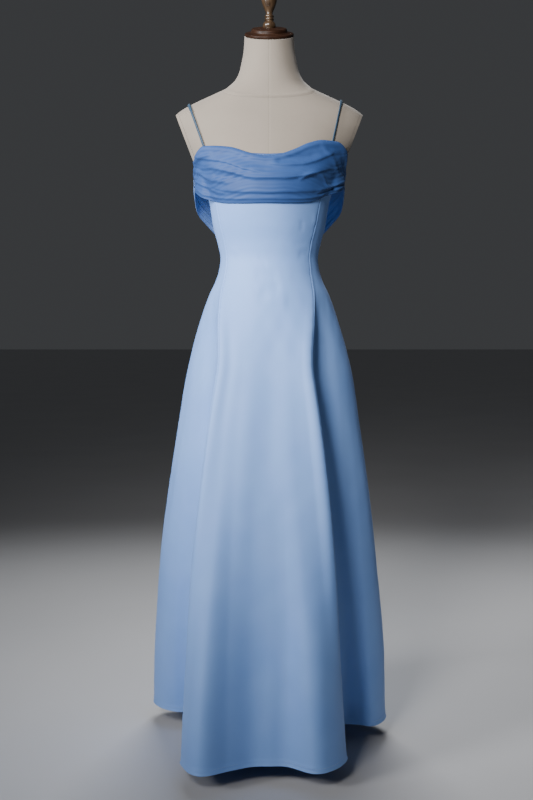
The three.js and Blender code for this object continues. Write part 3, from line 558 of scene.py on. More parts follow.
# The chiffon's blues: in the depth of the cloth, on its face and along the pulled threads. The cowl is the
# same chiffon, but it hangs free of the satin with light all round it, and that light is painted into it as
# paler blues than the band's.
BAND_BLUES = ((0.017, 0.056, 0.190), (0.025, 0.074, 0.235), (0.050, 0.112, 0.300))
COWL_BLUES_PAINTED_LIGHT = ((0.105, 0.190, 0.410), (0.130, 0.224, 0.455), (0.165, 0.270, 0.515))
SATIN_THREAD = (0.36, 0.49, 0.70)
CHIFFON_THREAD = (0.14, 0.27, 0.55)
THREAD_SHINE = 1.35


class Finish:
    """One material, with short ways to add and join its nodes."""

    def __init__(self, name):
        self.material = bpy.data.materials.new(name)
        self.material.use_nodes = True
        self.tree = self.material.node_tree
        self.shader = self.tree.nodes["Principled BSDF"]

    def add(self, kind, inputs=None, **settings):
        node = self.tree.nodes.new(kind)
        for key, value in settings.items():
            setattr(node, key, value)
        for key, value in (inputs or {}).items():
            if isinstance(value, bpy.types.NodeSocket):
                self.tree.links.new(value, node.inputs[key])
            else:
                node.inputs[key].default_value = value
        return node

    def fixed(self, **values):
        for key, value in values.items():
            self.shader.inputs[key.replace("_", " ")].default_value = value

    def drive(self, socket, source):
        self.tree.links.new(source, self.shader.inputs[socket])

    def coords(self, kind):
        return self.add("ShaderNodeTexCoord").outputs[kind]

    def stretched(self, source, scale):
        return self.add("ShaderNodeMapping", {"Vector": source, "Scale": scale}).outputs["Vector"]

    def noise(self, source, scale, detail=3.0, roughness=0.5):
        inputs = {"Vector": source, "Scale": scale, "Detail": detail, "Roughness": roughness}
        return self.add("ShaderNodeTexNoise", inputs).outputs["Fac"]

    def threads(self, source, direction, per_metre):
        """Even threads across a map: a wave whose crest comes this many times a metre."""
        inputs = {"Vector": source, "Scale": per_metre * math.tau / WAVE_TURN}
        node = self.add("ShaderNodeTexWave", inputs, bands_direction=direction, wave_profile="SIN")
        return node.outputs["Fac"]

    def maths(self, operation, a, b):
        return self.add("ShaderNodeMath", {0: a, 1: b}, operation=operation).outputs[0]

    def ramp(self, source, stops):
        node = self.add("ShaderNodeValToRGB", {"Fac": source})
        elements = node.color_ramp.elements
        while len(elements) < len(stops):
            elements.new(0.5)
        for element, (position, colour) in zip(elements, stops):
            element.position = position
            element.color = (*colour, 1)
        return node.outputs["Color"]

    def range(self, source, low, high):
        node = self.add("ShaderNodeMapRange", {"Value": source, "To Min": low, "To Max": high})
        return node.outputs["Result"]

    def tinted(self, share, base, tint):
        node = self.add("ShaderNodeMix", data_type="RGBA")
        self.tree.links.new(share, node.inputs[MIX_SHARE])
        self.tree.links.new(base, node.inputs[MIX_FIRST])
        node.inputs[MIX_SECOND].default_value = (*tint, 1)
        return node.outputs[MIX_RESULT]

    def relief(self, layers):
        """Bumps laid over one another, each a height, how deep it is in millimetres, and its strength."""
        normal = None
        for height, depth, strength in layers:
            inputs = {"Height": height, "Distance": depth * MM, "Strength": strength}
            if normal is not None:
                inputs["Normal"] = normal
            normal = self.add("ShaderNodeBump", inputs).outputs["Normal"]
        self.drive("Normal", normal)


def duchess_satin():
    """Ice-blue duchess satin: a close shiny weave, faint slubs along the cloth and soft dents."""
    f = Finish("duchess_satin")
    place = f.coords("Object")
    cloth = f.coords("UV")
    cloud = f.noise(place, 9.0, 2.0)
    slub = f.noise(f.stretched(cloth, (90.0, 900.0, 1.0)), 1.0, 2.0)
    base = f.ramp(cloud, [(0.3, (0.212, 0.388, 0.825)), (0.7, (0.240, 0.426, 0.865))])
    f.drive("Base Color", f.tinted(f.range(slub, 0.0, 0.12), base, (0.32, 0.51, 0.90)))
    dents = f.noise(place, 24.0, 2.0)
    small = f.noise(place, 75.0, 2.0)
    f.drive("Roughness", f.range(f.maths("ADD", cloud, slub), 0.46, 0.56))
    weave = f.threads(cloth, "X", 900)
    f.relief([(dents, 1.6, 0.16), (small, 0.4, 0.10), (slub, 0.05, 0.20), (weave, 0.02, 0.10)])
    f.fixed(Sheen_Weight=0.18, Sheen_Roughness=0.35, Sheen_Tint=(0.62, 0.72, 1.0, 1),
            Specular_IOR_Level=0.32, Metallic=0.04)
    return f.material


def drape_chiffon(name, dark, light, thread_tint):
    """Cornflower-blue chiffon: a matt crepe weave with fine pulled threads."""
    f = Finish(name)
    place = f.coords("Object")
    cloth = f.coords("UV")
    cloud = f.noise(place, 22.0, 3.0)
    pulled = f.noise(f.stretched(cloth, (18.0, 420.0, 1.0)), 1.0, 3.0)
    base = f.ramp(cloud, [(0.3, dark), (0.7, light)])
    f.drive("Base Color", f.tinted(f.range(pulled, 0.0, 0.30), base, thread_tint))
    f.drive("Roughness", f.range(pulled, 0.55, 0.7))
    weave = f.maths("MAXIMUM", f.threads(cloth, "X", 1300), f.threads(cloth, "Y", 1300))
    f.relief([(pulled, 0.25, 0.22), (weave, 0.04, 0.12)])
    f.fixed(Sheen_Weight=0.12, Sheen_Roughness=0.5, Sheen_Tint=(0.35, 0.52, 0.90, 1),
            Specular_IOR_Level=0.35)
    return f.material


def strap_satin():
    """Steel-blue satin cut on the bias, so its threads cross the strap at a slant."""
    f = Finish("strap_satin")
    on_the_bias = {"Vector": f.coords("UV"), "Rotation": (0, 0, math.radians(45))}
    slant = f.add("ShaderNodeMapping", on_the_bias).outputs["Vector"]
    weave = f.threads(slant, "X", 1100)
    wear = f.noise(f.coords("Object"), 60.0, 3.0)
    f.drive("Base Color", f.ramp(wear, [(0.3, (0.026, 0.054, 0.092)), (0.7, (0.042, 0.080, 0.128))]))
    f.drive("Roughness", f.range(wear, 0.42, 0.55))
    f.relief([(wear, 0.3, 0.3), (weave, 0.06, 0.35)])
    f.fixed(Sheen_Weight=0.06, Sheen_Roughness=0.4, Specular_IOR_Level=0.25)
    return f.material


def cover_linen():
    """Natural linen of the form's cover: a plain weave with thick and thin threads, a little soiled."""
    f = Finish("cover_linen")
    place = f.coords("Object")
    cloth = f.coords("UV")
    warp = f.noise(f.stretched(cloth, (1500.0, 60.0, 1.0)), 1.0, 2.0)
    weft = f.noise(f.stretched(cloth, (60.0, 1500.0, 1.0)), 1.0, 2.0)
    cross = f.maths("ADD", warp, weft)
    soil = f.noise(place, 7.0, 4.0)
    base = f.ramp(soil, [(0.25, (0.212, 0.182, 0.148)), (0.75, (0.262, 0.229, 0.190))])
    f.drive("Base Color", f.tinted(f.range(cross, 0.0, 0.30), base, (0.31, 0.273, 0.230)))
    f.drive("Roughness", f.range(soil, 0.82, 0.92))
    weave = f.maths("MULTIPLY", f.threads(cloth, "X", 1100), f.threads(cloth, "Y", 1100))
    f.relief([(cross, 0.25, 0.4), (weave, 0.08, 0.2)])
    f.fixed(Sheen_Weight=0.2, Sheen_Roughness=0.5, Specular_IOR_Level=0.3)
    return f.material


def polished_walnut():
    """Dark polished walnut, with turned grain and a paler figure."""
    f = Finish("polished_walnut")
    place = f.coords("Object")
    grain = f.noise(f.stretched(place, (60.0, 60.0, 420.0)), 1.0, 5.0)
    figure = f.noise(place, 35.0, 4.0)
    base = f.ramp(grain, [
        (0.3, (0.010, 0.004, 0.002)), (0.55, (0.026, 0.011, 0.006)), (0.8, (0.060, 0.028, 0.016)),
    ])
    f.drive("Base Color", f.tinted(f.range(figure, 0.0, 0.25), base, (0.055, 0.028, 0.017)))
    f.drive("Roughness", f.range(grain, 0.36, 0.50))
    f.relief([(grain, 0.15, 0.2), (figure, 0.3, 0.1)])
    f.fixed(Coat_Weight=0.03, Coat_Roughness=0.3, Specular_IOR_Level=0.15)
    return f.material


def turned_walnut():
    """The finial's walnut: lighter and browner, with the same polish."""
    f = Finish("turned_walnut")
    place = f.coords("Object")
    grain = f.noise(f.stretched(place, (160.0, 160.0, 30.0)), 1.0, 5.0)
    f.drive("Base Color", f.ramp(grain, [
        (0.3, (0.026, 0.015, 0.008)), (0.6, (0.070, 0.042, 0.022)), (0.85, (0.130, 0.088, 0.050)),
    ]))
    f.drive("Roughness", f.range(grain, 0.2, 0.36))
    f.relief([(grain, 0.15, 0.2)])
    f.fixed(Coat_Weight=0.35, Coat_Roughness=0.15)
    return f.material


def black_enamel():
    """Black stoved enamel on the cast stand, a little orange-peeled, with rubbed grey wear."""
    f = Finish("black_enamel")
    place = f.coords("Object")
    peel = f.noise(place, 260.0, 2.0)
    wear = f.noise(place, 14.0, 5.0, 0.65)
    f.drive("Base Color", f.ramp(wear, [(0.45, (0.010, 0.010, 0.012)), (0.8, (0.050, 0.050, 0.054))]))
    f.drive("Roughness", f.range(wear, 0.32, 0.5))
    f.relief([(peel, 0.25, 0.35)])
    f.fixed(Coat_Weight=0.25, Coat_Roughness=0.25)
    return f.material


def blued_metal():
    """The zip's small slider and tab: pale blued metal with fine drawn lines."""
    f = Finish("blued_metal")
    lines = f.noise(f.stretched(f.coords("Object"), (4000.0, 4000.0, 300.0)), 1.0, 3.0)
    f.drive("Base Color", f.ramp(lines, [(0.3, (0.28, 0.34, 0.44)), (0.7, (0.40, 0.46, 0.56))]))
    f.drive("Roughness", f.range(lines, 0.25, 0.45))
    f.relief([(lines, 0.02, 0.4)])
    f.fixed(Metallic=1.0)
    return f.material


def thread(name, colour):
    """Sewing thread with a little fuzz."""
    f = Finish(name)
    fuzz = f.noise(f.coords("Object"), 1800.0, 2.0)
    lighter = tuple(min(1.0, c * THREAD_SHINE) for c in colour)
    f.drive("Base Color", f.ramp(fuzz, [(0.3, colour), (0.7, lighter)]))
    f.drive("Roughness", f.range(fuzz, 0.5, 0.7))
    f.relief([(fuzz, 0.05, 0.4)])
    f.fixed(Sheen_Weight=0.3)
    return f.material


def studio_floor():
    """A pale matt floor, faintly mottled."""
    f = Finish("studio_floor")
    mottle = f.noise(f.coords("Object"), 1.5, 4.0)
    f.drive("Base Color", f.ramp(mottle, [(0.3, (0.56, 0.56, 0.57)), (0.7, (0.59, 0.59, 0.60))]))
    f.drive("Roughness", f.range(mottle, 0.75, 0.85))
    return f.material


# The studio

# The camera stands where the photograph was taken from.
CAMERA = {"place": (-6, -2400, 951), "pitch": -4, "lens": 48, "sensor": 36}

# The lights, in metres, watts and degrees: where each stands, what it is turned to, how large it is.
SOFTBOXES = [
    Softbox("key_light", (-0.8, -2.1, 2.1), (0.02, 0, 1.30), (0.7, 0.9), 12.4, (1.0, 0.98, 0.97), 64, True),
    Softbox("side_light", (-2.3, -1.5, 2.0), (0, 0, 1.38), (0.8, 1.3), 14, (0.98, 0.98, 1.0), 54, True),
    Softbox("back_light", (0, 2.3, 3.2), (0, 0, 0.9), (1.8, 1.2), 34, (0.96, 0.98, 1.0), 100, False),
]
AIR = {"colour": (0.84, 0.87, 0.92, 1), "strength": 0.055}
FLOOR_REACH = 40.0


def make_camera():
    data = bpy.data.cameras.new("camera")
    data.lens = CAMERA["lens"]
    data.sensor_width = CAMERA["sensor"]
    camera = bpy.data.objects.new("camera", data)
    bpy.context.scene.collection.objects.link(camera)
    camera.location = [value * MM for value in CAMERA["place"]]
    camera.rotation_euler = (math.radians(90 + CAMERA["pitch"]), 0, 0)
    bpy.context.scene.camera = camera


def make_softbox(box):
    data = bpy.data.lights.new(box.name, "AREA")
    data.shape = "RECTANGLE"
    data.size, data.size_y = box.size
    data.energy = box.power
    data.color = box.colour
    data.spread = math.radians(box.spread)
    light = bpy.data.objects.new(box.name, data)
    bpy.context.scene.collection.objects.link(light)
    light.visible_glossy = box.in_reflections
    light.location = box.place
    light.rotation_euler = (Vector(box.aim) - Vector(box.place)).to_track_quat("-Z", "Y").to_euler()


def make_studio():
    """A pale floor, soft lights from the front left, the side and high behind, and faint air."""
    reach = FLOOR_REACH
    mesh = bpy.data.meshes.new("studio_floor")
    corners = [(-reach, -reach, 0), (reach, -reach, 0), (reach, reach, 0), (-reach, reach, 0)]
    mesh.from_pydata(corners, [], [(0, 1, 2, 3)])
    floor = new_piece("studio_floor", mesh, studio_floor())
    for box in SOFTBOXES:
        make_softbox(box)
    world = bpy.data.worlds.new("studio_air")
    world.use_nodes = True
    air = world.node_tree.nodes["Background"]
    air.inputs["Color"].default_value = AIR["colour"]
    air.inputs["Strength"].default_value = AIR["strength"]
    bpy.context.scene.world = world


# The gown

SEAM_COLUMNS = [0, 0.012, 0.03, 0.055, 0.09, 0.14, 0.2, 0.28]
COLUMNS_PER_FOLD = 11
HEM_ROWS = [40, 40.5, 41.6, 44, 48, 51.2, 52.6, 54, 58]
LEVEL_ROWS = {"first": 64, "step": 6.0}
UPPER_ROWS = 45
# A crease that runs less than "level" up or down lies across the cloth, and any other runs down it.
CREASE = {"level": 30, "fade": 0.3, "wander": 0.06, "wander_scale": 100}
SEAM_ROLL = {"depth": 0.9, "breadth": 1.5}
SEAM_PUCKER = {"rise": 0.22, "reach": 7, "first_seed": 30, "longest": 46, "shortest": 18, "waves": 5}
# The sheets of two neighbouring panels stop short of each other by this much on each side.
SHEET_GAP = 0.06
# How far the front panel's two edges stand up into a crisp fold at each height, and how wide
# that fold is towards the middle of the panel and beyond its seam.
EDGE_FOLDS = [
    EdgeFold("front_seam_left", 26, 7, [
        (40, 3), (300, 5), (700, 6), (900, 3), (1040, 1.5), (1130, 1), (1230, 0.4), (1310, 0),
    ]),
    EdgeFold("front_seam_right", 16, 9, [(40, 3), (300, 5), (900, 5), (1040, 2.2), (1230, 0.8), (1310, 0)]),
]
HEM_TURN = {"depth": 12, "proud": 0.6, "edge": 1.2, "roll": 0.8, "flip": 2.0, "flip_height": 5}
HEM_STITCHING = {"up": 10.0, "points": 900}
# Large and small dents of the satin. The whole way round counts as DENTS_ROUND millimetres at each height.
DENTS_ROUND = 1500
SATIN_DENTS = [
    Dents(0.9, Wander(11, 420, 130, 5), Wander(12, 700, 260, 4), 1120, 300),
    Dents(0.15, Wander(21, 90, 45, 5), Wander(22, 140, 70, 5), 1250, 200),
]
# Up to this height the rows of the panels are level.
LEVEL_UP_TO = 1148


def panel_places(first, last):
    near = np.array(SEAM_COLUMNS)
    count = max(2, int(round((last - first - 2 * near[-1]) * COLUMNS_PER_FOLD)))
    middle = np.linspace(first + near[-1], last - near[-1], count + 1)[1:-1]
    return np.concatenate([first + near, middle, (last - near)[::-1]])


def gown_heights(places):
    """Rows of heights, level up to the ribs and then shared out to the neckline."""
    skirt_rows = np.arange(LEVEL_ROWS["first"], LEVEL_UP_TO, LEVEL_ROWS["step"])
    level = np.concatenate([HEM_ROWS, skirt_rows, [LEVEL_UP_TO]])
    top = neckline_height(fold_value("bodice", places))
    upper = np.linspace(0, 1, UPPER_ROWS)[1:]
    lower_rows = np.repeat(level[None, :], len(places), axis=0)
    upper_rows = mix(LEVEL_UP_TO, top[:, None], upper[None, :])
    return np.concatenate([lower_rows, upper_rows], axis=1)


def crease_relief(places, heights, around):
    """How far the soft creases stand out of the cloth or sink into it."""
    relief = np.zeros_like(heights)
    rows = np.arange(heights.shape[1])
    for c in CREASES:
        share = (heights - c.height) / (c.end_height - c.height)
        if abs(c.end_height - c.height) < CREASE["level"]:
            share = (places[:, None] - c.place) / (c.end_place - c.place)
            line = mix(c.height, c.end_height, share)
            apart = np.abs(heights - line)
        else:
            own = Wander(int(abs(c.place) * 10), 6, 2, 3)
            wander = CREASE["wander"] * uneven(heights[0] / CREASE["wander_scale"], *own)
            line = mix(c.place, c.end_place, share) + wander[None, :]
            on_line = np.stack([np.interp(line[0, j], places, around[:, j]) for j in rows])
            apart = np.abs(around - on_line[None, :])
        fade = ease(share / CREASE["fade"]) * ease((1 - share) / CREASE["fade"])
        relief += c.rise * bump(apart, c.breadth) * fade
    return relief


def hem_relief(above):
    """The narrow turned hem: proud over its depth, rolled under at the edge and flipped out a little."""
    relief = HEM_TURN["proud"] * (1 - ease((above - HEM_TURN["depth"]) / HEM_TURN["edge"]))
    relief = relief - HEM_TURN["roll"] * np.clip(1 - above / HEM_TURN["edge"], 0, 1) ** 2
    return relief + HEM_TURN["flip"] * np.clip(1 - above / HEM_TURN["flip_height"], 0, 1) ** 1.5


def gown_relief(places, heights, around):
    """How far the satin stands out of the plain surface: creases, dents, seams, folds and hem."""
    relief = crease_relief(places, heights, around)
    way_round = around / around[-1:] * DENTS_ROUND
    for dents in SATIN_DENTS:
        soft = uneven(way_round, *dents.around) * uneven(heights, *dents.up)
        relief += dents.rise * soft * ease((dents.below - heights) / dents.over)
    pucker = SEAM_PUCKER
    for seam in sorted({place_of(p.first) for p in PANELS} | {place_of(p.last) for p in PANELS}):
        apart = np.abs(around - around[nearest(places, seam)][None, :])
        own = Wander(pucker["first_seed"] + seam, pucker["longest"], pucker["shortest"], pucker["waves"])
        relief -= SEAM_ROLL["depth"] * bump(apart, SEAM_ROLL["breadth"])
        relief += pucker["rise"] * uneven(heights, *own) * bump(apart, pucker["reach"])
    for fold in EDGE_FOLDS:
        apart = around - around[nearest(places, place_of(fold.seam))][None, :]
        if fold.seam.endswith("left"):
            apart = -apart
        rise = curve_through([height for height, _ in fold.rises], [value for _, value in fold.rises])
        relief += rise(heights) * bump(apart, np.where(apart > 0, fold.inside, fold.beyond))
    return relief + hem_relief(heights - HEM_HEIGHT)


def make_gown(satin):
    """The seven panels, each a fine sheet with rolled edges, and the line of the hem's stitches."""
    pieces = []
    parts = [panel_places(place_of(p.first), place_of(p.last)) for p in PANELS]
    places = np.concatenate([parts[0]] + [part[1:] for part in parts[1:]])
    heights = gown_heights(places)
    points = dress_points(places[:, None], heights)
    relief = gown_relief(places, heights, run_lengths(points, 0))
    points = points + outward(points) * relief[..., None]
    for panel, part in zip(PANELS, parts):
        cut = points[nearest(places, part[0]):nearest(places, part[-1]) + 1].copy()
        for edge, inner in ((0, 1), (-1, -2)):
            step = cut[inner] - cut[edge]
            cut[edge] += step / np.maximum(np.linalg.norm(step, axis=-1, keepdims=True), 1e-6) * SHEET_GAP
        piece = thicken(cloth_piece("gown_" + panel.name, cut, satin), SATIN_CLOTH)
        seat(piece, "panel_" + panel.name, "satin")
        pieces.append((piece, panel))
    up = HEM_STITCHING["up"]
    all_round = np.linspace(0, len(FOLDS) - 1, HEM_STITCHING["points"])[:, None]
    hem = dress_points(all_round, np.array([[HEM_HEIGHT + up, HEM_HEIGHT + 2 * up]]))
    return pieces, hem[:, 0] + outward(hem)[:, 0] * HEM_TURN["proud"]


def make_binding(chiffon):
    """The bias binding that stands along the neckline, broken at the centre back opening."""
    angles = fold_value("bodice", np.linspace(0, len(FOLDS) - 1, BINDING["columns"]))
    angles[0] += BINDING["opening"]
    angles[-1] -= BINDING["opening"]
    angles = angles[:, None]
    rows = np.linspace(0, 1, BINDING["rows"])[None, :]
    heights = neckline_height(angles) + SEAM_GAP + rows * BINDING["height"]
    crown = BINDING["proud"] * np.sin(math.pi * rows) ** 0.5
    ripple = BINDING["ripple"] * uneven(angles, *BINDING_RIPPLE) * rows
    points = polar(angles, oval_radius(DRESS, angles, heights) + (crown + ripple), heights)
    piece = thicken(cloth_piece("neckline_bias", points, chiffon), SATIN_WALL)
    seat(piece, "neckline_binding", "chiffon")
    return piece, points[:, BINDING["rows"] // 2]


# The drapes

# Each pleat fades in and out over this share of its run.
PLEAT_FADE = 0.22
BAND_GRID = {"columns": 420, "rows": 96}
# The rolled upper edge: a soft roll some way below it and a small dip right at it.
BAND_ROLL = {"rise": 2.6, "down": 7, "breadth": 6, "dip": 1.6, "dip_breadth": 1.6, "hold": 0.05}
# Beyond "from" degrees the band is gathered, fully so after "over" more.
BAND_SIDE = {
    "from": 52, "over": 34, "gathers": 0.6, "crowding": 10, "slant": 0.2, "tuck": 1.2, "tuck_over": 8,
}
# The crepe's fine ripples follow swags that rise by "sag" at "at" degrees, and less at the gathers.
BAND_CREPE = {"sag": 26, "at": 60, "straighter": 0.8, "ripple": 0.22, "slip": 1.5}
BAND_LOWER = {"over": 9, "flat": 0.25}
BAND_WANDERS = {
    "slip": Wander(51, 60, 25, 3), "crepe": Wander(52, 13, 6, 6),
    "slant": Wander(53, 22, 9, 3), "gathers": Wander(54, 3.4, 1.8, 4),
}
COWL_GRID = {"columns": 400, "rows": 120}
COWL_FOLD = {"wander": 0.012, "stray": 0.01, "uneven": 0.25, "ripple": 0.28, "scale": 100, "slip": 4}
COWL_WANDERS = {
    "wander": Wander(61, 90, 35, 4), "stray": Wander(62, 80, 30, 3),
    "strength": Wander(80, 120, 50, 3), "ripple": Wander(71, 11, 5, 6),
}


def pleat_relief(angles, heights):
    """The band's pleats: each a line across it that is soft on one side and tucked on the other."""
    relief = np.zeros_like(heights)
    for pleat in FRONT_PLEATS:
        path_angles = [angle for angle, _ in pleat.path]
        line = curve_through(path_angles, [height for _, height in pleat.path])(angles)
        first, last = path_angles[0], path_angles[-1]
        run = (last - first) * PLEAT_FADE
        fade = ease((angles - first) / run + 0.5) * ease((last - angles) / run + 0.5)
        apart = heights - line
        breadth = np.where(apart > 0, pleat.above, pleat.below)
        relief += pleat.rise * bump(apart, breadth) * fade
    return relief


def make_front_drape(chiffon):
    """The draped band over the bust: a rolled upper edge, swags across and gathers at both sides."""
    angles = np.linspace(FRONT_DRAPE[0].angle, FRONT_DRAPE[-1].angle, BAND_GRID["columns"])[:, None]
    down = np.linspace(1, 0, BAND_GRID["rows"])[None, :]
    top, bottom, reach = (curve(angles) for curve in band_curves(FRONT_DRAPE))
    heights = mix(top, bottom, down)
    lift = mix(FRONT_DRAPE_LIFT["loose"], FRONT_DRAPE_LIFT["edge"], down ** FRONT_DRAPE_LIFT["edge_power"])
    body = smooth_max(oval_radius(DRESS, angles, heights) + lift, reach, FRONT_DRAPE_LIFT["blend"])
    drop = top - heights
    roll, lie, wanders = BAND_ROLL, BAND_SIDE, BAND_WANDERS
    rolled = roll["rise"] * bump(drop - roll["down"], roll["breadth"])
    rolled = rolled - roll["dip"] * bump(drop, roll["dip_breadth"])
    side = ease((np.abs(angles) - lie["from"]) / lie["over"])
    rise = BAND_CREPE["sag"] * (angles / BAND_CREPE["at"]) ** 2 * (1 - BAND_CREPE["straighter"] * side)
    swag = heights + rise + BAND_CREPE["slip"] * uneven(angles, *wanders["slip"])
    fine = BAND_CREPE["ripple"] * uneven(swag, *wanders["crepe"])
    crowded = down * lie["crowding"] + lie["slant"] * uneven(angles, *wanders["slant"])
    gathers = lie["gathers"] * side * uneven(crowded, *wanders["gathers"])
    hold = ease((1 - down) / roll["hold"])
    inner = ease((heights - bottom) / BAND_LOWER["over"])
    folded = (pleat_relief(angles, heights) + gathers) * mix(BAND_LOWER["flat"], 1, inner)
    tuck = lie["tuck"] * ease((FRONT_DRAPE[-1].angle - np.abs(angles)) / lie["tuck_over"])
    points = polar(angles, body + (folded + fine * inner + rolled * hold) + tuck, heights)
    piece = thicken(cloth_piece("bust_band", points, chiffon), CHIFFON_CLOTH)
    seat(piece, "front_drape", "chiffon")


def make_back_drape(chiffon):
    """The cowl behind: it hangs in deep folds from the side gathers, lowest at centre back."""
    first = BACK_DRAPE[0].angle
    angles = np.linspace(first, 360 - first, COWL_GRID["columns"])[:, None]
    from_front = np.where(angles > 180, 360 - angles, angles)
    down = np.linspace(1, 0, COWL_GRID["rows"])[None, :]
    top, bottom, reach = (curve(from_front) for curve in band_curves(BACK_DRAPE))
    hang = ease((from_front - first) / BACK_DRAPE_HANG["over"])
    cloth, wanders = COWL_FOLD, COWL_WANDERS
    wander = cloth["wander"] * uneven(angles, *wanders["wander"])
    relief = np.zeros((COWL_GRID["columns"], COWL_GRID["rows"]))
    for k, fold in enumerate(COWL_FOLDS):
        stray = wanders["stray"]._replace(seed=wanders["stray"].seed + k)
        line = mix(fold.side, fold.middle, hang) + wander + cloth["stray"] * uneven(angles, *stray)
        apart = down - line
        breadth = np.where(apart < 0, fold.above, fold.below)
        own = wanders["strength"]._replace(seed=wanders["strength"].seed + k)
        strength = 1 + cloth["uneven"] * uneven(angles, *own)
        relief += fold.rise * strength * bump(apart, breadth)
    scale = cloth["scale"]
    relief += cloth["ripple"] * uneven(down * scale + cloth["slip"] * wander * scale, *wanders["ripple"])
    stand = relief * mix(BACK_DRAPE_HANG["held_folds"], 1, hang)
    lean = BACK_DRAPE_HANG["lean"] * hang * (down - 1)
    points = polar(angles, reach + lean + stand, mix(top, bottom, down))
    # The cowl's chiffon carries painted light: its blues are paler than the band's, for light shining
    # through the thin cloth.
    piece = thicken(cloth_piece("back_cowl", points, chiffon), CHIFFON_CLOTH)
    seat(piece, "back_drape", "chiffon")


# The straps

# The ridge's height is found to this, and the surface's slope is taken over this step.
RIDGE_NEARNESS = 0.01
SLOPE_STEP = 0.5


def form_surface(x, height, face, out):
    """The form's surface at x and a height, on its front (-1) or its back (1), moved out."""
    def level(px, py, pz):
        width, front, back = (float(curve(pz)) for curve in FORM)
        return (px / width) ** 2 + (py / (front if py < 0 else back)) ** 2

    width, front, back = (float(curve(height)) for curve in FORM)
    depth = front if face < 0 else back
    y = face * depth * math.sqrt(max(0.0, 1 - (x / width) ** 2))
    step = SLOPE_STEP
    slope = Vector((
        level(x + step, y, height) - level(x - step, y, height),
        level(x, y + step, height) - level(x, y - step, height),
        level(x, y, height + step) - level(x, y, height - step),
    )).normalized()
    return Vector((x, y, height)) + slope * out


def ridge_height(x):
    """How high the shoulder's ridge is at x."""
    low, high = ARM_PLATE["height"], NECK_SEAM["height"]
    while high - low > RIDGE_NEARNESS:
        middle = (low + high) / 2
        if FORM[0](middle) > x:
            low = middle
        else:
            high = middle
    return low


def strap_path(strap):
    """The strap's middle line: up the front of the form, over the shoulder and down the back."""
    steps = STRAP["steps"]
    out = STRAP["thickness"] / 2 + STRAP["clearance"]
    top = ridge_height(strap.shoulder)
    path = []
    for angle, face, forward in ((strap.front_angle, -1, True), (strap.back_angle, 1, False)):
        neckline = float(neckline_height(strap.side * angle))
        low = neckline + SEAM_GAP + BINDING["height"] + STRAP["rise"]
        low_x = float(oval_radius(FORM, angle, low)) * math.sin(math.radians(angle))
        for k in range(steps + 1):
            share = k / steps if forward else 1 - k / steps
            rise = 1 - (1 - share) ** 2
            height = mix(low, top - STRAP["settle"], rise)
            x = min(mix(low_x, strap.shoulder, rise), float(FORM[0](height)) - STRAP["inside"])
            path.append(form_surface(x, height, face, out))
    return path


def make_straps(material):
    """Thin bias tubes from the neckline over the shoulder, a little flattened and taut."""
    sides, over = STRAP["sides"], STRAP_FACING["over"]
    for strap in STRAPS:
        path = strap_path(strap)
        rings = []
        for k, point in enumerate(path):
            along = (path[min(k + 1, len(path) - 1)] - path[max(k - 1, 0)]).normalized()
            facing = Vector((STRAP_FACING["side"] * point.x, point.y, 0))
            upright = Vector((STRAP_FACING["ridge_side"] * point.x, point.y, STRAP_FACING["ridge_up"]))
            near = float(ease((STRAP_FACING["ridge"] + over - abs(point.y)) / (2 * over)))
            facing = facing.normalized().lerp(upright.normalized(), near)
            across = along.cross(facing).normalized()
            upward = across.cross(along).normalized()
            ring = []
            fuller = 1 + STRAP["fuller"] * math.sin(math.pi * k / (len(path) - 1)) ** 0.5
            for i in range(sides):
                turn = 2 * math.pi * (i + 0.5) / sides
                spot = point + across * (STRAP["width"] / 2 * fuller * math.cos(turn))
                spot += upward * (STRAP["thickness"] / 2 * math.sin(turn))
                ring.append((strap.side * spot.x, spot.y, spot.z))
            rings.append(ring)
        piece = ring_tube("shoulder_" + strap.node, np.array(rings), material)
        recalculate_outside(piece.data)
        seat(piece, strap.node, "strap_cloth")


# The dress form

FORM_SEAMS = [0, 90, 180, 270]
FORM_SEAM = {"depth": 0.28, "breadth": 1.3}
# The form's columns in degrees: close together beside each seam, then even up to the next one.
BESIDE_SEAM = [0.25, 0.55, 0.9, 1.4, 2.1, 3.0]
BETWEEN_SEAMS = {"first": 4.5, "last": 86.5, "step": 1.8}
COVER_EDGE = {"width": 0.9, "steps": 3, "sharp": 38, "rounded_from": 50}
# Each part of the cover is first built between two heights in rows this far apart, and then cut.
TORSO_ROWS, NECK_ROWS, PLATE_ROWS = (740, 1560, 5.0), (1390, 1625, 1.25), (1230, 1470, 3.0)
# The cover's weave is mapped round a body of about this radius.
TORSO_MAP, NECK_MAP = 140, 60
# The neck's cover ends in a rolled edge just above its seam.
NECK_ROLL = {"rise": 1.9, "above": 3.2, "breadth": 2.2}


def form_grid(low, high, step):
    """The cover's surface between two heights, with its seams sunk in and the neck's rolled edge."""
    near = np.array(BESIDE_SEAM)
    columns = []
    for seam in FORM_SEAMS:
        even = np.arange(seam + BETWEEN_SEAMS["first"], seam + BETWEEN_SEAMS["last"], BETWEEN_SEAMS["step"])
        columns += [seam, *(seam + near), *even, *(seam + 90 - near[::-1])]
    angles = np.array(sorted(set(np.round(columns, 3)))) % 360
    angles = np.unique(angles)
    heights = np.arange(low, high + step / 2, step)
    radius = oval_radius(FORM, angles[:, None], heights[None, :])
    for seam in FORM_SEAMS:
        apart = np.abs((angles - seam + 180) % 360 - 180)[:, None] * math.pi / 180 * radius
        radius = radius - FORM_SEAM["depth"] * bump(apart, FORM_SEAM["breadth"])
    depth = polar(angles[:, None], radius, heights[None, :])[..., 1]
    slope = NECK_SEAM["slope"]
    above = (heights[None, :] - slope * depth - NECK_SEAM["height"]) / math.hypot(1, slope)
    radius = radius + NECK_ROLL["rise"] * bump(above - NECK_ROLL["above"], NECK_ROLL["breadth"])
    return polar(angles[:, None], radius, heights[None, :])


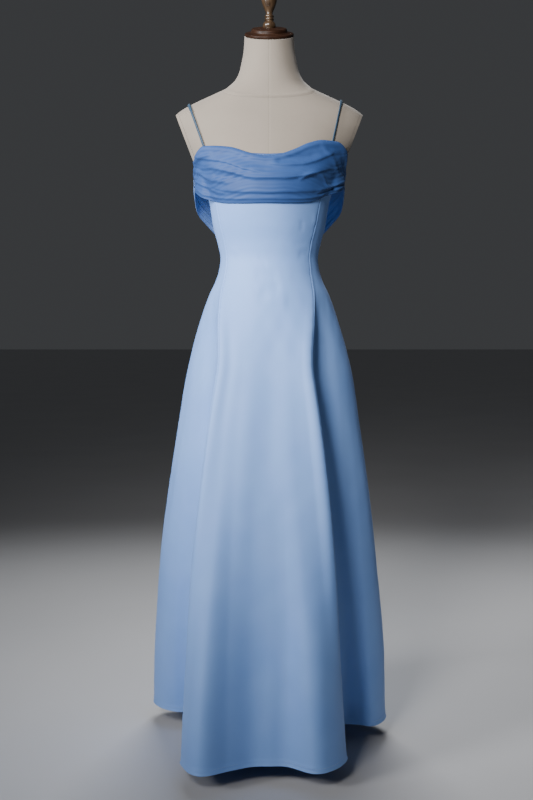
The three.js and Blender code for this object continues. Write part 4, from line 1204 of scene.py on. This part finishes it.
def arm_plane(side, out):
    """A plane along the arm plate's face, moved out: a point on it and its outward direction."""
    lean = math.radians(ARM_PLATE["lean"])
    normal = Vector((side * math.cos(lean), 0, -math.sin(lean)))
    centre = Vector((side * ARM_PLATE["reach"], 0, ARM_PLATE["height"]))
    return (centre + normal * out) * MM, normal


def slanted_plane(rule, shift):
    """A plane across the neck that slants down to the front: a point on it and its upward direction."""
    normal = Vector((0, -rule["slope"], 1)).normalized()
    return (Vector((0, 0, rule["height"])) + normal * shift) * MM, normal


# A face with more corners than this is a flat one that closes a cut.
QUAD = 4


def form_part(name, grid, cuts, material, map_round):
    """Part of the form's cover: a closed body cut by planes, with each cut closed by a flat face."""
    columns, rows = grid.shape[:2]
    bm = bmesh.new()
    corners = [bm.verts.new(point) for point in (grid.reshape(-1, 3) * MM).tolist()]
    for face in grid_faces(columns, rows, True):
        bm.faces.new([corners[k] for k in face])
    bm.faces.new([corners[i * rows] for i in range(columns)][::-1])
    bm.faces.new([corners[i * rows + rows - 1] for i in range(columns)])
    bm.normal_update()
    for centre, normal, keep_outer in cuts:
        everything = bm.verts[:] + bm.edges[:] + bm.faces[:]
        bmesh.ops.bisect_plane(bm, geom=everything, dist=ON_CUT, plane_co=centre, plane_no=normal,
                               clear_outer=not keep_outer, clear_inner=keep_outer)
        rim = [edge for edge in bm.edges if edge.is_boundary]
        bmesh.ops.edgeloop_fill(bm, edges=rim)
    bmesh.ops.recalc_face_normals(bm, faces=bm.faces)
    for face in bm.faces:
        face.smooth = len(face.verts) <= QUAD
    bmesh.ops.triangulate(bm, faces=[face for face in bm.faces if not face.smooth])
    mesh = bpy.data.meshes.new(name)
    bm.to_mesh(mesh)
    bm.free()
    cloth_map = mesh.uv_layers.new(name="cloth_map")
    for polygon in mesh.polygons:
        spots = [mesh.vertices[mesh.loops[k].vertex_index].co for k in polygon.loop_indices]
        turns = [math.atan2(spot.x, -spot.y) for spot in spots]
        if max(turns) - min(turns) > math.pi:
            turns = [turn + 2 * math.pi if turn < 0 else turn for turn in turns]
        for k, spot, turn in zip(polygon.loop_indices, spots, turns):
            cloth_map.data[k].uv = (turn * map_round * MM if map_round else spot.y, spot.z)
    mesh.set_sharp_from_angle(angle=math.radians(COVER_EDGE["sharp"]))
    piece = new_piece(name, mesh, material)
    round_edges(piece, COVER_EDGE["width"], COVER_EDGE["steps"], COVER_EDGE["rounded_from"])
    return piece


def make_form_cover(linen):
    """The linen cover: torso, neck and the two arm plates."""
    torso_cuts = [(*slanted_plane(NECK_SEAM, -SEAM_GAP / 2), False)]
    inner = -ARM_PLATE["thickness"] - SEAM_GAP
    torso_cuts += [(*arm_plane(side, inner), False) for side in (-1, 1)]
    torso = form_part("cover_torso", form_grid(*TORSO_ROWS), torso_cuts, linen, TORSO_MAP)
    neck_cuts = [(*slanted_plane(NECK_SEAM, SEAM_GAP / 2), True), (*slanted_plane(NECK_TOP, 0), False)]
    neck = form_part("cover_neck", form_grid(*NECK_ROWS), neck_cuts, linen, NECK_MAP)
    covers = [(torso, "form_torso"), (neck, "form_neck")]
    for side, node in ((-1, "form_arm_plate_right"), (1, "form_arm_plate_left")):
        cuts = [(*arm_plane(side, 0), False), (*arm_plane(side, -ARM_PLATE["thickness"]), True)]
        plate = form_part(node.replace("form", "cover"), form_grid(*PLATE_ROWS), cuts, linen, None)
        covers.append((plate, node))
    for piece, node in covers:
        seat(piece, node, "linen")


def turned_piece(name, profile, sides, material, rounding, place=None):
    """A turned body from a list of (radius, height) pairs that start and end on the axis."""
    bm = bmesh.new()
    corners = [bm.verts.new((radius * MM, 0, height * MM)) for radius, height in profile]
    edges = [bm.edges.new((a, b)) for a, b in zip(corners, corners[1:])]
    bmesh.ops.spin(bm, geom=corners + edges, cent=(0, 0, 0), axis=(0, 0, 1), angle=2 * math.pi, steps=sides,
                   use_merge=True)
    bmesh.ops.remove_doubles(bm, verts=bm.verts, dist=SAME_POINT)
    bmesh.ops.recalc_face_normals(bm, faces=bm.faces)
    if place is not None:
        bmesh.ops.transform(bm, matrix=place, verts=bm.verts)
    mesh = bpy.data.meshes.new(name)
    bm.to_mesh(mesh)
    bm.free()
    mesh.shade_smooth()
    mesh.set_sharp_from_angle(angle=math.radians(rounding))
    return new_piece(name, mesh, material)


# An arc takes up at most this share of the straight on either side of its corner.
ARC_SHARE = 0.45


def rounded(profile, steps, tight):
    """A finer profile: each corner is cut back to a small arc, unless it lies on the axis."""
    result = [profile[0]]
    for before, corner, after in zip(profile, profile[1:], profile[2:]):
        before, corner, after = Vector(before), Vector(corner), Vector(after)
        into, out = before - corner, after - corner
        reach = min(tight, into.length * ARC_SHARE, out.length * ARC_SHARE)
        start, end = corner + into.normalized() * reach, corner + out.normalized() * reach
        for k in range(steps + 1):
            t = k / steps
            result.append(tuple(start * (1 - t) ** 2 + corner * 2 * t * (1 - t) + end * t * t))
    result.append(profile[-1])
    return result


# Turned profiles: each point's radius, and its height over the floor or, for the cap, over the neck's top.
CAP_PROFILE = [
    (0, 0.3), (53, 0.3), (54, 1.5), (54, 5.5), (52.5, 7), (45, 7.2), (43.5, 8.6),
    (41, 9), (40, 10), (39, 15), (37, 17), (24, 17.4), (22.5, 18.2), (0, 18.2),
]
FINIAL_PROFILE = [
    (0, 1598), (11, 1598), (11, 1602), (13.5, 1605), (14.5, 1609), (13.5, 1613.5), (11, 1617), (8, 1619.5),
    (10.3, 1621), (10.5, 1623.5), (8.2, 1625.5), (10.3, 1627.5), (10.4, 1630), (7, 1632.5), (8, 1638),
    (12.5, 1648), (16.5, 1660), (18, 1671), (16.5, 1680), (12, 1686.5), (6, 1690), (4.5, 1693), (4.8, 1697),
    (2.8, 1700.5), (0, 1701.5),
]
BASE_PROFILE = [
    (0, 0), (148, 0), (150, 2), (150, 12), (144, 18), (134, 20), (36, 24), (26, 32), (26, 59), (23, 62),
    (0, 62),
]
POLE_PROFILE = [(0, 62.3), (14, 62.3), (14, 739.7), (0, 739.7)]


TURNED_PARTS = [
    Turned("neck_cap_disc", "form_neck_cap", "walnut", CAP_PROFILE, 4, 1.4, 112, 50),
    Turned("turned_finial", "form_finial", "walnut", FINIAL_PROFILE, 5, 3.5, 72, 60),
    Turned("stand_base", "form_base", "stand_metal", BASE_PROFILE, 4, 4, 128, 40),
    Turned("stand_pole", "form_pole", "stand_metal", POLE_PROFILE, 3, 1, 48, 40),
]


def make_turned_parts(materials):
    """The neck cap, set to the slant of the neck's top, the finial, the base and the pole."""
    slant = Matrix.Rotation(math.atan(NECK_TOP["slope"]), 4, "X")
    on_neck = Matrix.Translation((0, 0, NECK_TOP["height"] * MM)) @ slant
    for part, material in zip(TURNED_PARTS, materials):
        profile = rounded(part.profile, part.arc_steps, part.arc)
        place = on_neck if part.node == "form_neck_cap" else None
        piece = turned_piece(part.name, profile, part.sides, material, part.rounding, place)
        seat(piece, part.node, part.slot)


# The zip

def make_zip(frame, satin, metal):
    """The concealed zip's closed line, and finer copies of its slider and tab."""
    heights = np.arange(ZIP["bottom"], ZIP["top"], ZIP["step"])
    seam = dress_points(np.zeros(1), heights)[:, 1] + SEAM_GAP
    rings = np.array([[(x, y + proud, z) for x, proud in ZIP_ACROSS] for y, z in zip(seam, heights)])
    line = ring_tube("zip_closed_line", rings, satin)
    recalculate_outside(line.data)
    seat(line, "zip_line", "satin")
    for node, name, body in (("zip_slider", "slider_body", GOWN), ("zip_pull", "slider_tab", PULL_TAB)):
        mesh = frame["nodes"][node].data.copy()
        mesh.materials.clear()
        bm = bmesh.new()
        bm.from_mesh(mesh)
        bmesh.ops.remove_doubles(bm, verts=bm.verts, dist=SAME_POINT)
        flat = math.radians(ZIP_EDGE["flat"])
        bmesh.ops.dissolve_limit(bm, angle_limit=flat, verts=bm.verts, edges=bm.edges)
        bm.to_mesh(mesh)
        bm.free()
        mesh.name = name
        piece = new_piece(name, mesh, metal)
        mesh.shade_smooth()
        mesh.set_sharp_from_angle(angle=math.radians(ZIP_EDGE["sharp"]))
        round_edges(piece, ZIP_EDGE["width"], ZIP_EDGE["steps"], ZIP_EDGE["rounded_from"])
        seat(piece, node, "zip_metal", body)


# Stitches

# What a row of stitches can be given, in metres. The unevenness is a share of a stitch's size.
STITCH_INPUTS = [("Pitch", 0.003), ("Length", 0.0021), ("Thickness", 0.0004), ("Unevenness", 0.08)]
HEM_STITCHES = {"Pitch": 0.0034, "Length": 0.0022, "Thickness": 0.00022}
BINDING_STITCHES = {"Pitch": 0.0026, "Length": 0.0016, "Thickness": 0.00018}
STRAND = {"Vertices": 6, "Side Segments": 3}
STITCH_SEED = 7


def stitch_tree(material):
    """A row of stitches along a line: one short thread for each pitch, turned to follow it."""
    tree = bpy.data.node_groups.new("stitch_row", "GeometryNodeTree")
    face = tree.interface
    face.new_socket("Geometry", in_out="INPUT", socket_type="NodeSocketGeometry")
    for name, value in STITCH_INPUTS:
        socket = face.new_socket(name, in_out="INPUT", socket_type="NodeSocketFloat")
        socket.default_value = value
    face.new_socket("Geometry", in_out="OUTPUT", socket_type="NodeSocketGeometry")
    add, join = tree.nodes.new, tree.links.new
    source, result = add("NodeGroupInput"), add("NodeGroupOutput")
    to_curve = add("GeometryNodeMeshToCurve")
    spaced = add("GeometryNodeCurveToPoints")
    spaced.mode = "LENGTH"
    join(source.outputs["Geometry"], to_curve.inputs["Mesh"])
    join(to_curve.outputs["Curve"], spaced.inputs["Curve"])
    join(source.outputs["Pitch"], spaced.inputs["Length"])
    strand = add("GeometryNodeMeshCylinder")
    for name, value in STRAND.items():
        strand.inputs[name].default_value = value
    join(source.outputs["Thickness"], strand.inputs["Radius"])
    join(source.outputs["Length"], strand.inputs["Depth"])
    size = add("FunctionNodeRandomValue")
    size.data_type = "FLOAT"
    size.inputs["Seed"].default_value = STITCH_SEED
    less, more = add("ShaderNodeMath"), add("ShaderNodeMath")
    less.operation, more.operation = "SUBTRACT", "ADD"
    less.inputs[0].default_value = more.inputs[0].default_value = 1.0
    for node, socket in ((less, "Min"), (more, "Max")):
        join(source.outputs["Unevenness"], node.inputs[1])
        target = [s for s in size.inputs if s.name == socket and s.type == "VALUE" and s.enabled][0]
        join(node.outputs[0], target)
    placed = add("GeometryNodeInstanceOnPoints")
    join(spaced.outputs["Points"], placed.inputs["Points"])
    join(strand.outputs["Mesh"], placed.inputs["Instance"])
    turn = add("FunctionNodeAlignRotationToVector")
    turn.axis = "Z"
    join(spaced.outputs["Tangent"], turn.inputs["Vector"])
    join(turn.outputs["Rotation"], placed.inputs["Rotation"])
    join([s for s in size.outputs if s.type == "VALUE" and s.enabled][0], placed.inputs["Scale"])
    real = add("GeometryNodeRealizeInstances")
    painted = add("GeometryNodeSetMaterial")
    painted.inputs["Material"].default_value = material
    join(placed.outputs["Instances"], real.inputs["Geometry"])
    join(real.outputs["Geometry"], painted.inputs["Geometry"])
    join(painted.outputs["Geometry"], result.inputs["Geometry"])
    return tree


def stitch_row(name, path, material, values):
    """Sews a row of stitches along a path in millimetres and keeps them as a plain mesh."""
    mesh = bpy.data.meshes.new(name + "_path")
    mesh.from_pydata((np.asarray(path) * MM).tolist(), [(i, i + 1) for i in range(len(path) - 1)], [])
    line = new_piece(name + "_path", mesh, material)
    sewing = line.modifiers.new("stitches", "NODES")
    sewing.node_group = stitch_tree(material)
    for item in sewing.node_group.interface.items_tree:
        if item.in_out == "INPUT" and item.name in values:
            sewing[item.identifier] = values[item.name]
    graph = bpy.context.evaluated_depsgraph_get()
    sewn = bpy.data.meshes.new_from_object(line.evaluated_get(graph))
    bpy.data.objects.remove(line)
    sewn.name = name
    sewn.shade_smooth()
    piece = bpy.data.objects.new(name, sewn)
    bpy.context.scene.collection.objects.link(piece)
    if not sewn.materials:
        sewn.materials.append(material)
    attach(piece, GOWN)


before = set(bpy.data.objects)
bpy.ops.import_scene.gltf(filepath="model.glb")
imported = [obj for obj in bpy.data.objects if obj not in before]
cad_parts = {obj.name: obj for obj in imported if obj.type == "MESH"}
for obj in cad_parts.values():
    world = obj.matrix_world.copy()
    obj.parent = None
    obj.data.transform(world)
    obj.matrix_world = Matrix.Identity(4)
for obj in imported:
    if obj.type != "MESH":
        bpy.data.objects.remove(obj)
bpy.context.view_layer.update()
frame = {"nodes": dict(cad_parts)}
make_camera()
make_studio()
satin, linen = duchess_satin(), cover_linen()
chiffon = drape_chiffon("drape_chiffon", *BAND_BLUES)
# The cowl's chiffon is the band's chiffon painted paler: painted light, for light shining through the thin
# cloth.
cowl_chiffon_painted_light = drape_chiffon("cowl_chiffon_painted_light", *COWL_BLUES_PAINTED_LIGHT)
panels, hem_line = make_gown(satin)
binding, binding_line = make_binding(chiffon)
for panel_piece, panel in panels:
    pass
make_front_drape(chiffon)
make_back_drape(cowl_chiffon_painted_light)
make_straps(strap_satin())
make_form_cover(linen)
enamel = black_enamel()
make_turned_parts([polished_walnut(), turned_walnut(), enamel, enamel])
make_zip(frame, satin, blued_metal())
stitch_row("hem_stitches", hem_line, thread("satin_thread", SATIN_THREAD), HEM_STITCHES)
stitch_row("binding_stitches", binding_line, thread("chiffon_thread", CHIFFON_THREAD),
           BINDING_STITCHES)
